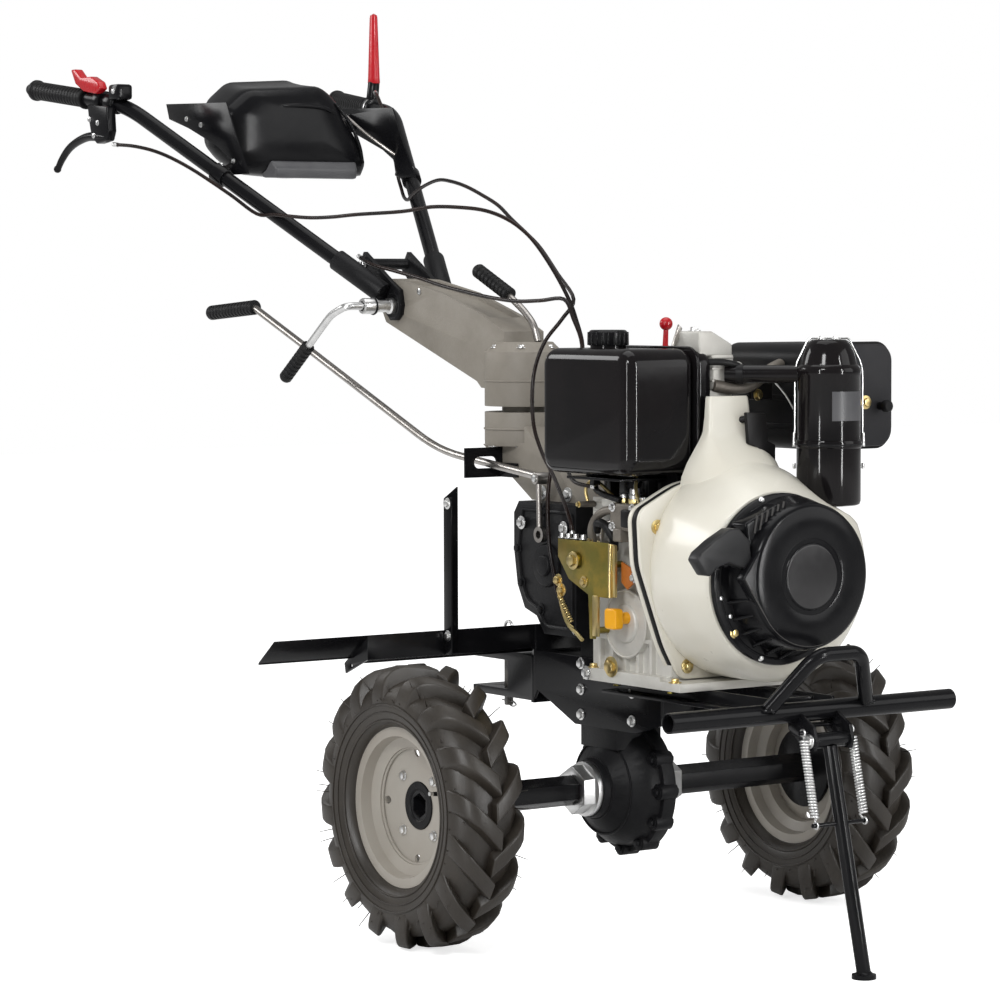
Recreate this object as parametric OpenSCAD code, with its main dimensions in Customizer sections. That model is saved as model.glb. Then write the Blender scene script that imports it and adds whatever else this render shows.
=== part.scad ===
// Walk-behind power tiller with a vertical engine, seen as it parks on its
// wheels and front stand. Millimetres. X runs forward, Y to the left, Z up.
// Places along X count from the axle, heights from the axle's centre.

/* [Wheels] */
// Radius over the tyre's lugs, which is the axle's height above the ground
tyre_r = 206; // [200:1:208]
// Half the distance between the wheels' centre planes
track_half = 362; // [355:1:370]
// Width of the tyre at its widest
tyre_w = 112; // [104:1:116]
// Height of a lug above the carcass
lug_h = 19; // [12:1:22]
// Number of lugs on each half of a tyre
lug_count = 16; // [12:1:20]
// Width of a lug
lug_w = 24; // [18:1:28]
// Angle of a lug to the axle's direction
lug_slant = 43; // [35:1:48]
// Radius of the rim's flange
rim_r = 117; // [114:1:119]
// Width of the rim over its flanges
rim_w = 72; // [68:1:76]
// Thickness of the rim's sheet
rim_t = 3; // [2:0.5:4]

/* [Axle] */
// Radius of the round journal that turns in the gear case
journal_r = 17; // [15:0.5:19]
// Radius over the corners of the hexagonal sleeve
sleeve_r = 23; // [21.5:0.5:24]
// Radius over the corners of the hexagonal shaft inside the sleeve
shaft_hex_r = 18; // [17:0.5:19]
// Distance from the centre to the sleeve's inner end
sleeve_in = 92; // [88:1:98]
// Radius of the wheel's bolted flange
hub_flange_r = 62; // [58:1:66]
// Radius of the gear case at its bolted joint
case_r = 100; // [90:1:104]

/* [Frame] */
// Half the distance between the side plates, which clamp the gear case's neck
plate_in = 41; // [38:1:44]
// Thickness of the side plates
plate_t = 6; // [5:0.5:7]
// Height of the engine's seat above the axle
seat_h = 172; // [168:1:176]
// Bumper tube's distance in front of the axle
bumper_x = 449; // [440:1:460]
// Bumper tube's height above the axle
bumper_h = 155; // [150:1:158]
// Bumper tube's half length
bumper_half = 255; // [240:1:280]
// Bumper tube's radius
bumper_r = 14.5; // [13:0.5:16]
// Bumper tube's wall
bumper_wall = 2.5; // [2:0.5:3]
// Radius of the hoop's tube
hoop_r = 10.5; // [9:0.5:12]

/* [Stand] */
// Foot's distance in front of the axle
foot_x = 560; // [550:1:570]
// Radius of the foot's disc
foot_r = 17; // [14:1:20]
// Thickness of the foot's disc
foot_t = 6; // [4:1:8]
// Radius of the leg's tube
leg_r = 10; // [8:0.5:11]
// Pivot's distance in front of the axle
pivot_x = 484; // [480:1:490]
// Pivot's height above the axle
pivot_h = 118; // [115:1:121]
// Radius of the pivot bolt
pivot_r = 5; // [4:0.5:6]

/* [Fenders] */
// Outer end of the fender's inner part
fender_mid = 348; // [340:1:356]
// Outer end of the fender's wing
fender_out = 510; // [490:1:530]
// Height of the fender's top edge above the axle
fender_h = 234; // [231:1:238]
// Height of the upright post above the fender's edge
post_len = 215; // [180:1:240]

/* [Engine] */
// Crankshaft's height above the axle
crank_h = 343; // [340:1:346]
// Front face of the starter's cover, ahead of the axle
starter_x = 448; // [444:1:452]
// Radius of the starter's face
starter_r = 99; // [94:1:102]
// Radius of the starter's bolted flange
starter_flange_r = 133; // [128:1:136]
// Radius of the fan's scroll where it is middling wide
scroll_r = 157; // [152:1:160]
// How far the scroll widens to the left and narrows to the right
scroll_swell = 21; // [14:1:22]
// Fuel tank's length
tank_l = 216; // [200:1:216]
// Fuel tank's width
tank_w = 156; // [140:1:156]
// Fuel tank's height
tank_hgt = 182; // [170:1:190]
// Muffler's length
muffler_l = 196; // [180:1:204]
// Muffler's width
muffler_w = 168; // [160:1:176]
// Muffler's height
muffler_hgt = 152; // [140:1:160]
// Radius of the air cleaner's canister
canister_r = 46.5; // [43:0.5:48]

/* [Handlebar] */
// Swivel axis of the column, behind the axle
swivel_x = -250; // [-256:1:-246]
// Radius of the column's round flange
flange_r = 61; // [58:1:62]
// Tilt pivot's distance behind the axle
tilt_x = -550; // [-555:1:-545]
// Tilt pivot's height above the axle
tilt_h = 719; // [715:1:723]
// Radius of the tilt bolt
tilt_r = 8; // [6:0.5:9]
// Half width of the column arm
arm_half = 38; // [35:1:39]
// Radius of the handle's tube
tube_r = 12.5; // [11:0.5:13.5]
// Half the distance between the grips at their ends
grip_half = 307; // [295:1:320]
// Height of the grips' ends above the axle
grip_h = 1091; // [1075:1:1105]
// Radius of the rubber grips
grip_r = 16; // [14.5:0.5:18]
// Length of the rubber grips
grip_len = 148; // [130:1:160]

/* [Hidden] */
$fn = 48;

// Clearance of a turning journal, of a loose seat and of a fixed seat
run_gap = 0.05;
seat_gap = 0.3;
// Height of a weld bead over the bars it joins
bead = 0.4;

// Rear end of the grips, and the middle of the whole machine's length
grip_end_x = -1276;
rear_x = grip_end_x - grip_r;
front_x = foot_x + foot_r;
mid_x = (front_x + rear_x) / 2;

carcass_r = tyre_r - lug_h;
tyre_sides = 32;
rim_face = track_half + rim_w / 2;
sleeve_out = track_half + 2;
neck_half_x = 45;
neck_top = 226;
frame_top = 194;
plate_out = plate_in + plate_t;

// Engine places
engine_rear = 50;
gasket_x = 240;
shroud_front = 392;
tank_x = 24;
tank_y = -166;
tank_z = 478;
head_y = 34;
head_x = 228;
muffler_x = 84;
muffler_y = 127;
muffler_z = 506;
canister_x = 332;
canister_y = 126;
canister_z = 433;

// Column places
base_top = 556;
arm_bottom = 565;
spigot_r = 25;
spigot_h = 22;

// Handle tube's points: lower end, bend and grip's end, for the left side
tube_low = [tilt_x - 10, 58, tilt_h + 20];
tube_bend = [-1028, 268, 1056];
tube_end = [grip_end_x, grip_half, grip_h];

// Routes of the three control cables, chosen by hand
clutch_route = [[-1040, -285, 990], [-985, -273, 985], [-930, -256, 972], [-880, -228, 946],
    [-820, -190, 903], [-770, -168, 870], [-735, -155, 868], [-660, -140, 862], [-600, -130, 862],
    [-540, -120, 865], [-440, -100, 868], [-375, -88, 874], [-310, -77, 872], [-255, -68, 866],
    [-210, -58, 852], [-175, -50, 832], [-145, -46, 808], [-110, -41, 770], [-80, -37, 730],
    [-60, -38, 700], [-38, -42, 660], [-36, -52, 620], [-45, -66, 570], [-55, -80, 510],
    [-63, -88, 440], [-55, -92, 365], [-35, -97, 320], [-20, -102, 295], [10, -108, 262],
    [40, -112, 238]];
throttle_route = [[-1085, 268, 1095], [-1050, 253, 1080], [-1005, 238, 1045], [-940, 211, 995],
    [-905, 193, 962], [-875, 178, 938], [-850, 168, 918], [-820, 154, 902], [-790, 142, 897], [-765, 135, 905], [-715, 125, 918],
    [-650, 110, 926], [-590, 95, 922], [-525, 80, 912], [-455, 64, 896], [-390, 50, 878],
    [-325, 30, 855], [-265, 16, 832], [-210, 4, 808], [-140, -14, 768], [-80, -28, 730],
    [-88, -44, 700], [-108, -60, 668], [-120, -70, 630], [-115, -80, 590], [-97, -90, 540],
    [-67, -96, 500], [-32, -102, 470], [8, -112, 435], [36, -119, 405], [44, -121, 386]];
stop_route = [[-640, -54, 800], [-600, -54, 786], [-540, -52, 776], [-470, -50, 764],
    [-405, -48, 751], [-330, -48, 740], [-265, -48, 732], [-200, -48, 727], [-140, -47, 728],
    [-80, -46, 730], [-54, -48, 702], [-26, -52, 662], [-14, -66, 610], [-12, -86, 560],
    [-6, -96, 512], [8, -104, 482], [24, -108, 467], [45, -111, 460], [84, -108, 456]];
cable_r = 3;
clip_z = stop_route[len(stop_route) - 1].z + cable_r + 2 * seat_gap;

// Moves children from the axle's frame to the part's frame
module machine() {
    translate([-mid_x, 0, tyre_r]) children();
}

// Draws children on both sides
module both_sides() {
    children();
    mirror([0, 1, 0]) children();
}

// Places children at a, with their Z axis towards b
module toward(a, b) {
    v = b - a;
    translate(a) rotate([0, acos(v.z / norm(v)), atan2(v.y, v.x)]) children();
}

// Round bar between two points
module rod(a, b, r) {
    toward(a, b) cylinder(h = norm(b - a), r = r);
}

// Round bar along several points, with a weld bead at each corner
module bar(points, r) {
    for (i = [0 : len(points) - 2]) rod(points[i], points[i + 1], r);
    for (i = [1 : len(points) - 2]) translate(points[i]) sphere(r = r + bead);
}

// Cylinder along +Y from y0 to y1, with its centre at x, z
module across(x, z, y0, y1, r) {
    translate([x, y0, z]) rotate([-90, 0, 0]) cylinder(h = y1 - y0, r = r);
}

// Outline in X and Z, drawn out along +Y from y0 to y1
module plate(points, y0, y1) {
    translate([0, y1, 0]) rotate([90, 0, 0]) linear_extrude(y1 - y0) polygon(points);
}

// Box from its low corner to its high corner
module block(low, high) {
    translate(low) cube(high - low);
}

// Outline turned about the axle's line: each point is [radius, y]
module turned(points) {
    rotate([-90, 0, 0]) rotate_extrude() polygon(points);
}

// Point at a share of the way between two points
function between(a, b, t) = a + (b - a) * t;

function unit(v) = v / norm(v);
function tangent(p, i) =
    i == 0 ? unit(p[1] - p[0]) :
    i == len(p) - 1 ? unit(p[i] - p[i - 1]) :
    unit(unit(p[i + 1] - p[i]) + unit(p[i] - p[i - 1]));
function across_dir(d, n) = unit(n - d * (n * d));
function frames(p, i, n) =
    let (d = tangent(p, i), m = across_dir(d, n))
    i == len(p) - 1 ? [m] : concat([m], frames(p, i + 1, m));

// Tube of a cable along its route
module cable(route, r, sides = 8) {
    normals = frames(route, 0, [0, 0.3, 1]);
    rings = [for (i = [0 : len(route) - 1])
        let (d = tangent(route, i), n = normals[i], b = cross(d, n))
        [for (k = [0 : sides - 1])
            let (a = 360 * k / sides) route[i] + r * (cos(a) * n + sin(a) * b)]];
    points = [for (ring = rings) for (q = ring) q];
    last = (len(route) - 1) * sides;
    walls = [for (i = [0 : len(route) - 2]) for (k = [0 : sides - 1])
        let (a = i * sides + k, b = i * sides + (k + 1) % sides)
        [a, a + sides, b + sides, b]];
    ends = [[for (k = [0 : sides - 1]) k], [for (k = [sides - 1 : -1 : 0]) last + k]];
    polyhedron(points, concat(walls, ends), convexity = 6);
}

// Hexagonal bar along +Y with a corner up
module hex_bar(y0, y1, r) {
    translate([0, y0, 0]) rotate([-90, 0, 0]) rotate([0, 0, 30]) cylinder(h = y1 - y0, r = r, $fn = 6);
}

// Journals in the gear case, and a hexagonal end inside each wheel's sleeve
module axle_shaft() {
    color("dimgray") machine() {
        across(0, 0, -sleeve_in, sleeve_in, journal_r);
        both_sides() hex_bar(sleeve_in - 1, sleeve_out - 25, shaft_hex_r - seat_gap);
    }
}

// Hexagonal sleeve with the wheel's flange and the black nose in the disc
module hub() {
    flange_y = track_half - 9;
    difference() {
        union() {
            hex_bar(sleeve_in, sleeve_out, sleeve_r);
            across(0, 0, flange_y, flange_y + 7, hub_flange_r);
            across(0, 0, flange_y, sleeve_out, 35);
        }
        hex_bar(sleeve_in - 1, sleeve_out + 1, shaft_hex_r);
    }
}
module hub_left() { color("#18181a") machine() hub(); }
module hub_right() { color("#18181a") machine() mirror([0, 1, 0]) hub(); }

// Pressed steel rim with its disc, on the left side
module rim() {
    w = rim_w / 2;
    seat_r = rim_r - 14;
    well_r = rim_r - 29;
    disc_y = -2;
    outer = [[rim_r, -w], [rim_r, -w + rim_t], [seat_r + rim_t, -w + rim_t + 2],
        [seat_r, -w + 16], [well_r, -w + 22], [well_r, w - 22], [seat_r, w - 16],
        [seat_r + rim_t, w - rim_t - 2], [rim_r, w - rim_t], [rim_r, w]];
    inner = [[seat_r, w], [seat_r - rim_t, w - 16], [well_r - rim_t, w - 22],
        [well_r - rim_t, -w + 22], [seat_r - rim_t, -w + 16], [seat_r, -w]];
    difference() {
        translate([0, track_half, 0]) {
            turned(concat(outer, inner));
            turned([[35 + seat_gap, disc_y], [35 + seat_gap, disc_y + 4], [64, disc_y + 4],
                [well_r - rim_t + 0.5, disc_y + 10], [well_r - rim_t + 0.5, disc_y + 6], [64, disc_y]]);
        }
        for (k = [0 : 3]) rotate([0, 45 + 90 * k, 0])
            across(56, 0, track_half - 12, track_half + 12, 5.5);
        for (k = [0 : 3]) rotate([0, 90 * k, 0])
            across(77, 0, track_half - 12, track_half + 20, 6);
    }
}
module rim_left() { color("#a29c93") machine() rim(); }
module rim_right() { color("#a29c93") machine() mirror([0, 1, 0]) rim(); }

// Corners of a regular ring whose flats lie at radius r
function ring_points(r) = [for (k = [0 : tyre_sides - 1])
    let (a = 360 / tyre_sides * (k + 0.5)) [sin(a), cos(a)] * r / cos(180 / tyre_sides)];

// Slanted lug on top of the tyre's left half, running back towards the shoulder
module lug() {
    s = tyre_w / 2;
    nose = -6;
    half_x = lug_w / 2 / cos(lug_slant);
    lean = tan(lug_slant) * (s - nose) / 2;
    end_x = lean + half_x;
    end_z = sqrt(tyre_r * tyre_r - end_x * end_x);
    intersection() {
        linear_extrude(tyre_r + 1)
            polygon([[lean - half_x, nose], [end_x, nose], [half_x - lean, s], [-end_x, s]]);
        translate([-tyre_r, 0, 0]) rotate([90, 0, 90]) linear_extrude(2 * tyre_r)
            polygon([[nose - 1, carcass_r - 15], [nose - 1, tyre_r + 1], [s - 26, tyre_r + 1], [s - 9, tyre_r - 9],
                [s - 1, tyre_r - 26], [s, rim_r + 35], [s - 6, rim_r + 29], [s - 20, rim_r + 33]]);
        plate([[-end_x - 1, 0], [end_x + 1, 0], [end_x + 1, end_z], [end_x, end_z], [0, tyre_r],
            [-end_x, end_z], [-end_x - 1, end_z]], nose - 1, s + 1);
    }
}

// Tyre on the left side, with the lugs of its two halves set between each other
module tyre() {
    w = rim_w / 2;
    s = tyre_w / 2;
    foot_y = w - rim_t - 2 - seat_gap;
    pitch = 360 / lug_count;
    translate([0, track_half, 0]) difference() {
        union() {
            hull() for (p = [[rim_r + 14, s - 5], [rim_r + 38, s - 1], [carcass_r - 14, s - 10], [carcass_r, s - 28]])
                plate(ring_points(p.x), -p.y, p.y);
            for (k = [0 : lug_count - 1]) {
                rotate([0, pitch * k, 0]) lug();
                rotate([0, pitch * (k + 0.5), 0]) mirror([0, 1, 0]) lug();
            }
        }
        plate(ring_points(rim_r - 14 + rim_t + seat_gap), -s, s);
        both_sides() plate(ring_points(rim_r + seat_gap), foot_y, s);
    }
}
module tyre_left() { color("#4b443c") machine() tyre(); }
module tyre_right() { color("#4b443c") machine() mirror([0, 1, 0]) tyre(); }

// Black casting around the axle, with its neck up to the gearbox
module gear_case() {
    color("#1c1c1e") machine() difference() {
        union() {
            turned([[0, -62], [43, -62], [46, -50], [70, -34], [88, -12], [92, 6], [case_r, 6],
                [case_r, 28], [90, 28], [80, 42], [50, 54], [43, 62], [0, 62]]);
            block([-neck_half_x, -plate_in, 60], [neck_half_x, plate_in, neck_top]);
            for (a = [60 : 30 : 300]) rotate([0, a, 0]) across(0, case_r - 6, -2, 28, 12);
        }
        across(0, 0, -63, 63, journal_r + run_gap);
    }
}

// Bright bearing nuts with a round flange, one on each side of the gear case
module axle_nuts() {
    color("silver") machine() both_sides() difference() {
        union() {
            across(0, 0, 62, 71, 41);
            hex_bar(71, sleeve_in - 0.5, 37);
        }
        across(0, 0, 61, sleeve_in, journal_r + 1);
    }
}

// Welded plates that clamp the neck, with rails under the engine
module frame() {
    color("#1b1b1d") machine() {
        both_sides() {
            plate([[-160, 118], [-150, 134], [-53, 91], [100, 91], [160, 108], [160, seat_h],
                [40, seat_h], [28, frame_top], [-160, frame_top]], plate_in, plate_out);
            block([56, plate_out, seat_h - 22], [bumper_x - bumper_r, plate_out + 30, seat_h - 17]);
            block([56, plate_out, seat_h - 22], [bumper_x - bumper_r, plate_out + 5, seat_h]);
            block([56, plate_out, seat_h - 4], [236, plate_out + 46, seat_h]);
        }
        block([-160, -plate_in, frame_top - 6], [-50, plate_in, frame_top]);
        block([-160, -plate_out, frame_top - 1], [-154, plate_out, fender_h]);
        block([120, -plate_in, 108], [126, plate_in, seat_h]);
        block([bumper_x - 60, -plate_out, seat_h - 22], [bumper_x - 54, plate_out, seat_h - 4]);
    }
}

// Black gearbox and clutch housing behind the engine
module gearbox() {
    color("#17171a") machine() {
        plate([[-171, 350], [-162, 297], [-143, 262], [-112, 252], [-92, neck_top], [-10, neck_top], [-10, 424],
            [-158, 424], [-171, 406]], -75, 75);
        both_sides() for (p = [[-142, 392], [-33, 389]]) across(p.x, p.y, 74, 81, 9);
        translate([-11, 0, crank_h]) rotate([0, 90, 0])
            cylinder(h = engine_rear + 11, r = 72);
    }
}

// Grey casting that carries the column's swivel
module column_base() {
    color("#85807a") machine() {
        plate([[swivel_x - 52, 505], [-170, 424], [-50, 424], [-100, 470], [-190, 535], [-190, 510]], -42, 42);
        translate([swivel_x, 0, 504]) cylinder(h = base_top - 504, r = flange_r);
        translate([swivel_x, 0, base_top - 1]) cylinder(h = arm_bottom - base_top + 1 - seat_gap, r = 34);
        translate([swivel_x, 0, base_top]) cylinder(h = arm_bottom - base_top + spigot_h, r = spigot_r);
    }
}

// Aluminium crankcase with its feet and side ribs
module crankcase() {
    color("#b9b9b4") machine() {
        block([engine_rear, -107, seat_h], [236, 107, seat_h + 18]);
        block([235, -107, seat_h], [284, 107, seat_h + 12]);
        block([engine_rear, -88, seat_h + 17], [gasket_x, 88, 440]);
        both_sides() {
            for (x = [76 : 31 : 200]) block([x - 3, 87, seat_h + 17], [x + 3, 96, seat_h + 68]);
            block([73, 87, seat_h + 62], [203, 96, seat_h + 68]);
            across(142, seat_h + 88, 87, 97, 50);
        }
    }
}

// Finned cylinder, head and rocker cover
module cylinder_head() {
    color("#c4c2bb") machine() {
        translate([150, head_y, 440]) cylinder(h = 160, r = 38);
        for (k = [0 : 10]) translate([150, head_y, 450 + 13 * k]) cylinder(h = 4, r = 43);
        translate([0, 0, 600]) linear_extrude(50)
            polygon([[92, -8], [head_x - 4, -8], [head_x, -2], [head_x, 56], [head_x - 6, 60],
                [172, 74], [160, 78], [92, 78]]);
        block([132, -6, 649], [head_x, 34, 664]);
        block([132, -36, 663], [head_x, 34, 684]);
        block([146, -26, 683], [214, 26, 690]);
        across(122, 620, 77, muffler_y, 17);
    }
}

// Outline of the shroud's flange, in Y and height
shroud_outline = [[-78, 186], [-105, 234], [-149, 352], [-153, 420], [-146, 434], [-112, 451],
    [-80, 466], [-20, 478], [60, 478], [120, 462], [156, 430], [168, 343], [150, 260], [110, 200], [84, 186]];

// Distance from the crankshaft out to the scroll, at an angle from the left side
function scroll(a) = scroll_r + scroll_swell * cos(a);
function scroll_points(inset) = [for (k = [0 : 47]) let (a = 7.5 * k)
    [(scroll(a) - inset) * cos(a), crank_h + (scroll(a) - inset) * sin(a)]];

// Slice of the scroll across the machine, from x0 to x1
module scroll_slice(x0, x1, inset) {
    translate([x0, 0, 0]) rotate([90, 0, 90]) linear_extrude(x1 - x0) polygon(scroll_points(inset));
}

// Off-white fan shroud: flange, scroll and the neck up to the head
module fan_shroud() {
    color("#e1ded2") machine() difference() {
        union() {
            translate([gasket_x, 0, 0]) rotate([90, 0, 90]) linear_extrude(7) polygon(shroud_outline);
            hull() {
                scroll_slice(gasket_x + 6, gasket_x + 7, 2);
                scroll_slice(gasket_x + 16, shroud_front - 34, 0);
                scroll_slice(shroud_front - 18, shroud_front - 17, 6);
                translate([shroud_front - 5, 0, crank_h]) rotate([0, 90, 0])
                    cylinder(h = 1, r = starter_flange_r + 4, $fn = 48);
            }
            hull() {
                block([gasket_x + 1, -40, 440], [gasket_x + 70, 66, 450]);
                block([gasket_x + 1, -9, 500], [gasket_x + 30, 44, 520]);
                block([gasket_x + 1, -9, 588], [gasket_x + 16, 34, 590]);
            }
        }
        translate([canister_x, canister_y, canister_z - 6]) cylinder(h = 200, r = canister_r + 5);
    }
}

// Round black starter cover, with the pull handle in its socket
module recoil_starter() {
    color("#1d1d1f") machine() {
        depth = starter_x - shroud_front;
        translate([shroud_front, 0, crank_h]) rotate([0, 90, 0]) rotate_extrude()
            polygon([[0, -3.5], [starter_flange_r, -3.5], [starter_flange_r, 3], [starter_r + 18, 6],
                [starter_r + 17, 26], [starter_r + 12, 40], [starter_r + 3, depth - 4], [starter_r, depth],
                [starter_r - 48, depth], [starter_r - 50, depth - 4], [starter_r - 56, depth - 4],
                [starter_r - 58, depth], [0, depth]]);
        hull() {
            translate([412, -104, 394]) rotate([0, 90, 0]) cylinder(h = 24, r = 21, $fn = 32);
            translate([416, -184, 360]) rotate([0, 90, 0]) cylinder(h = 18, r = 12, $fn = 32);
        }
    }
}

// Block with round corners of radius r, and ends chamfered by c
module pad(size, r, c) {
    hull() for (x = [r, size.x - r]) for (y = [r, size.y - r]) {
        translate([x, y, c]) cylinder(h = size.z - 2 * c, r = r, $fn = 32);
        translate([x, y, 0]) cylinder(h = size.z, r = r - c, $fn = 32);
    }
}

// The same block with its ends towards front and rear
module long_pad(low, high, r, c) {
    translate(low) rotate([90, 0, 90]) pad([high.y - low.y, high.z - low.z, high.x - low.x], r, c);
}

// The same block with its ends towards left and right
module wide_pad(low, high, r, c) {
    translate([low.x, low.y, high.z]) rotate([-90, 0, 0])
        pad([high.x - low.x, high.z - low.z, high.y - low.y], r, c);
}

// Fuel tank in two pressed halves, with the seam's lip near its inner side
module fuel_tank() {
    high = [tank_x + tank_l, tank_y + tank_w, tank_z + tank_hgt];
    color("#101012") machine() {
        wide_pad([tank_x, tank_y, tank_z], [high.x, high.y - 30, high.z], 20, 10);
        wide_pad([tank_x + 3, tank_y + 60, tank_z + 3], [high.x - 3, high.y, high.z - 3], 20, 10);
        wide_pad([tank_x - 3, high.y - 34, tank_z - 3], [high.x + 3, high.y - 29, high.z + 3], 22, 1);
        translate([104, -100, high.z - 2]) cylinder(h = 5, r = 24);
    }
}

// Bracket that carries the tank on the crankcase
module tank_bracket() {
    color("#1b1b1d") machine() {
        block([64, -146, tank_z - 8.3], [194, -60, tank_z - 4.3]);
        block([80, -116, clip_z], [90, -104, tank_z - 8]);
        for (x = [76, 168]) block([x, -87, 440], [x + 16, -70, tank_z - 8]);
        for (x = [76, 150]) block([x, -120, tank_z - 5], [x + 30, -60, tank_z - 0.3]);
    }
}

module fuel_cap() {
    color("#161618") machine() difference() {
        translate([104, -100, tank_z + tank_hgt + 3]) cylinder(h = 23, r = 30.5);
        for (k = [0 : 11]) translate([104, -100, tank_z + tank_hgt + 2]) rotate([0, 0, 30 * k])
            translate([32, 0, 0]) cylinder(h = 25, r = 3.5);
    }
}

// Black muffler box over the head's left side
module muffler() {
    color("#1a1a1c") machine() long_pad([muffler_x, muffler_y, muffler_z],
        [muffler_x + muffler_l, muffler_y + muffler_w, muffler_z + muffler_hgt], 26, 7);
}

// Air cleaner: round canister with a stepped cap and its inlet pipe
module air_cleaner() {
    color("#131315") machine() difference() {
        union() {
            translate([canister_x, canister_y, canister_z]) cylinder(h = 204, r = canister_r);
            translate([canister_x, canister_y, canister_z + 84]) cylinder(h = 10, r = canister_r + 1.5);
            translate([canister_x, canister_y, canister_z + 203]) cylinder(h = 36, r1 = canister_r - 4, r2 = 27);
            rod([canister_x - 30, canister_y - 32, 622], [head_x - 15, 10, 622], 13);
        }
        block([head_x - 40, -30, 600], [head_x + seat_gap, 60, 645]);
    }
}

// Zinc-plated governor plate on its standoffs
module governor_plate() {
    color("#a08a28") machine() {
        plate([[13, 378], [139, 378], [139, 298], [112, 298], [104, 236], [92, 236], [88, 300], [40, 320], [13, 352]],
            -125, -122);
        for (p = [[64, -88, 345], [120, -88, 345], [99, -97, 248]]) across(p.x, p.z, -122, p.y, 5);
    }
}

// Injection pump on the crankcase's side, its two curved pipes and the thin fuel pipe
module injection_pump() {
    face = -88 - seat_gap;
    color("#8d8a80") machine() {
        block([128, -116, 396], [192, face, 436]);
        block([140, -120, 380], [160, face, 400]);
        translate([171, -102, 435]) cylinder(h = 22, r = 9);
        translate([146, -102, 435]) cylinder(h = 14, r = 7);
        across(210, 366, -108, face, 14);
        across(66, 376, -104, face, 7);
        bar([[66, -100, 372], [72, -100, 400], [100, -100, 422], [132, -100, 424]], 5);
        across(86, 372, -104, face, 6);
        bar([[86, -98, 368], [90, -98, 392], [104, -98, 406], [132, -98, 408]], 3.5);
        across(54, 430, -116, face, 5);
        bar([[54, -99, 430], [51, -99, 452], [76, -99, 465], [142, -99, 430]], 2.5);
    }
}

module oil_filler() {
    color("#f2b20e") machine() {
        across(150, 269, -122, -97 - seat_gap, 9);
        across(150, 269, -132, -116, 16);
    }
}

// Decompression lever with its red knob
module decompression_lever() {
    color("#c8102e") machine() {
        translate([110, 0, 650]) cylinder(h = 12, r = 8);
        rod([110, 0, 660], [112, 0, 690], 4);
        translate([112, 0, 694]) sphere(r = 10);
    }
}

hoop_foot = [bumper_x + 11, 88, bumper_h + 9];
hoop_top = [bumper_x + 56, 30, 240];

// Bumper tube, open at its ends, with the hoop welded on it
module bumper() {
    hoop_shoulder = [hoop_top.x - 6, hoop_top.y + 16, hoop_top.z - 10];
    color("#1e1e20") machine() difference() {
        union() {
            across(bumper_x, bumper_h, -bumper_half, bumper_half, bumper_r);
            bar([hoop_foot, hoop_shoulder, hoop_top, [hoop_top.x, -hoop_top.y, hoop_top.z],
                [hoop_shoulder.x, -hoop_shoulder.y, hoop_shoulder.z],
                [hoop_foot.x, -hoop_foot.y, hoop_foot.z]], hoop_r);
        }
        across(bumper_x, bumper_h, -bumper_half - 1, bumper_half + 1, bumper_r - bumper_wall);
    }
}

// Two cheeks welded under the bumper, with the stand's pivot bolt and spring pins
spring_top = [pivot_x - 4, 44, pivot_h + 12];
spring_low = [pivot_x + 25, 44, 4];
module stand_bracket() {
    color("#1b1b1d") machine() difference() {
        union() {
            both_sides() plate([[bumper_x - 12, bumper_h], [bumper_x - 12, bumper_h - 24], [pivot_x - 8, pivot_h - 13],
                [pivot_x + 10, pivot_h - 13], [pivot_x + 14, pivot_h], [pivot_x + 8, pivot_h + 20],
                [bumper_x + 14, bumper_h]], 30, 35);
            block([bumper_x - 12, -31, bumper_h - 22], [bumper_x + 8, 31, bumper_h - 18]);
            across(pivot_x, pivot_h, -38, 38, pivot_r);
            both_sides() across(spring_top.x, spring_top.z, 34, 50, 3);
        }
        across(bumper_x, bumper_h, -40, 40, bumper_r);
    }
}

// Stand leg with its pivot eye, spring pins and round foot
module stand_leg() {
    foot = [foot_x, 0, foot_t - tyre_r];
    axis_top = [pivot_x, 0, pivot_h];
    color("#1a1a1c") machine() difference() {
        union() {
            across(pivot_x, pivot_h, -29.5, 29.5, 11);
            rod(between(axis_top, foot, 0.03), foot, leg_r);
            translate([foot.x, foot.y, -tyre_r]) cylinder(h = foot_t, r = foot_r);
            across(spring_low.x, spring_low.z, -50, 50, 3);
        }
        across(pivot_x, pivot_h, -30, 30, pivot_r + run_gap);
        translate([foot_x - 50, -50, -tyre_r - 50]) cube([100, 100, 50]);
    }
}

// Pair of pull springs beside the leg, plain tubes with an eye at each end
module stand_springs() {
    a = spring_top;
    b = spring_low;
    color("silver") machine() both_sides() difference() {
        union() {
            rod(between(a, b, 0.07), between(a, b, 0.93), 6);
            across(a.x, a.z, a.y - 2, a.y + 2, 6);
            across(b.x, b.z, b.y - 2, b.y + 2, 6);
            rod(between(a, b, 0.03), between(a, b, 0.08), 2);
            rod(between(a, b, 0.92), between(a, b, 0.97), 2);
        }
        across(a.x, a.z, a.y - 7, a.y + 7, 3.5);
        across(b.x, b.z, b.y - 7, b.y + 7, 3.5);
    }
}

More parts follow.
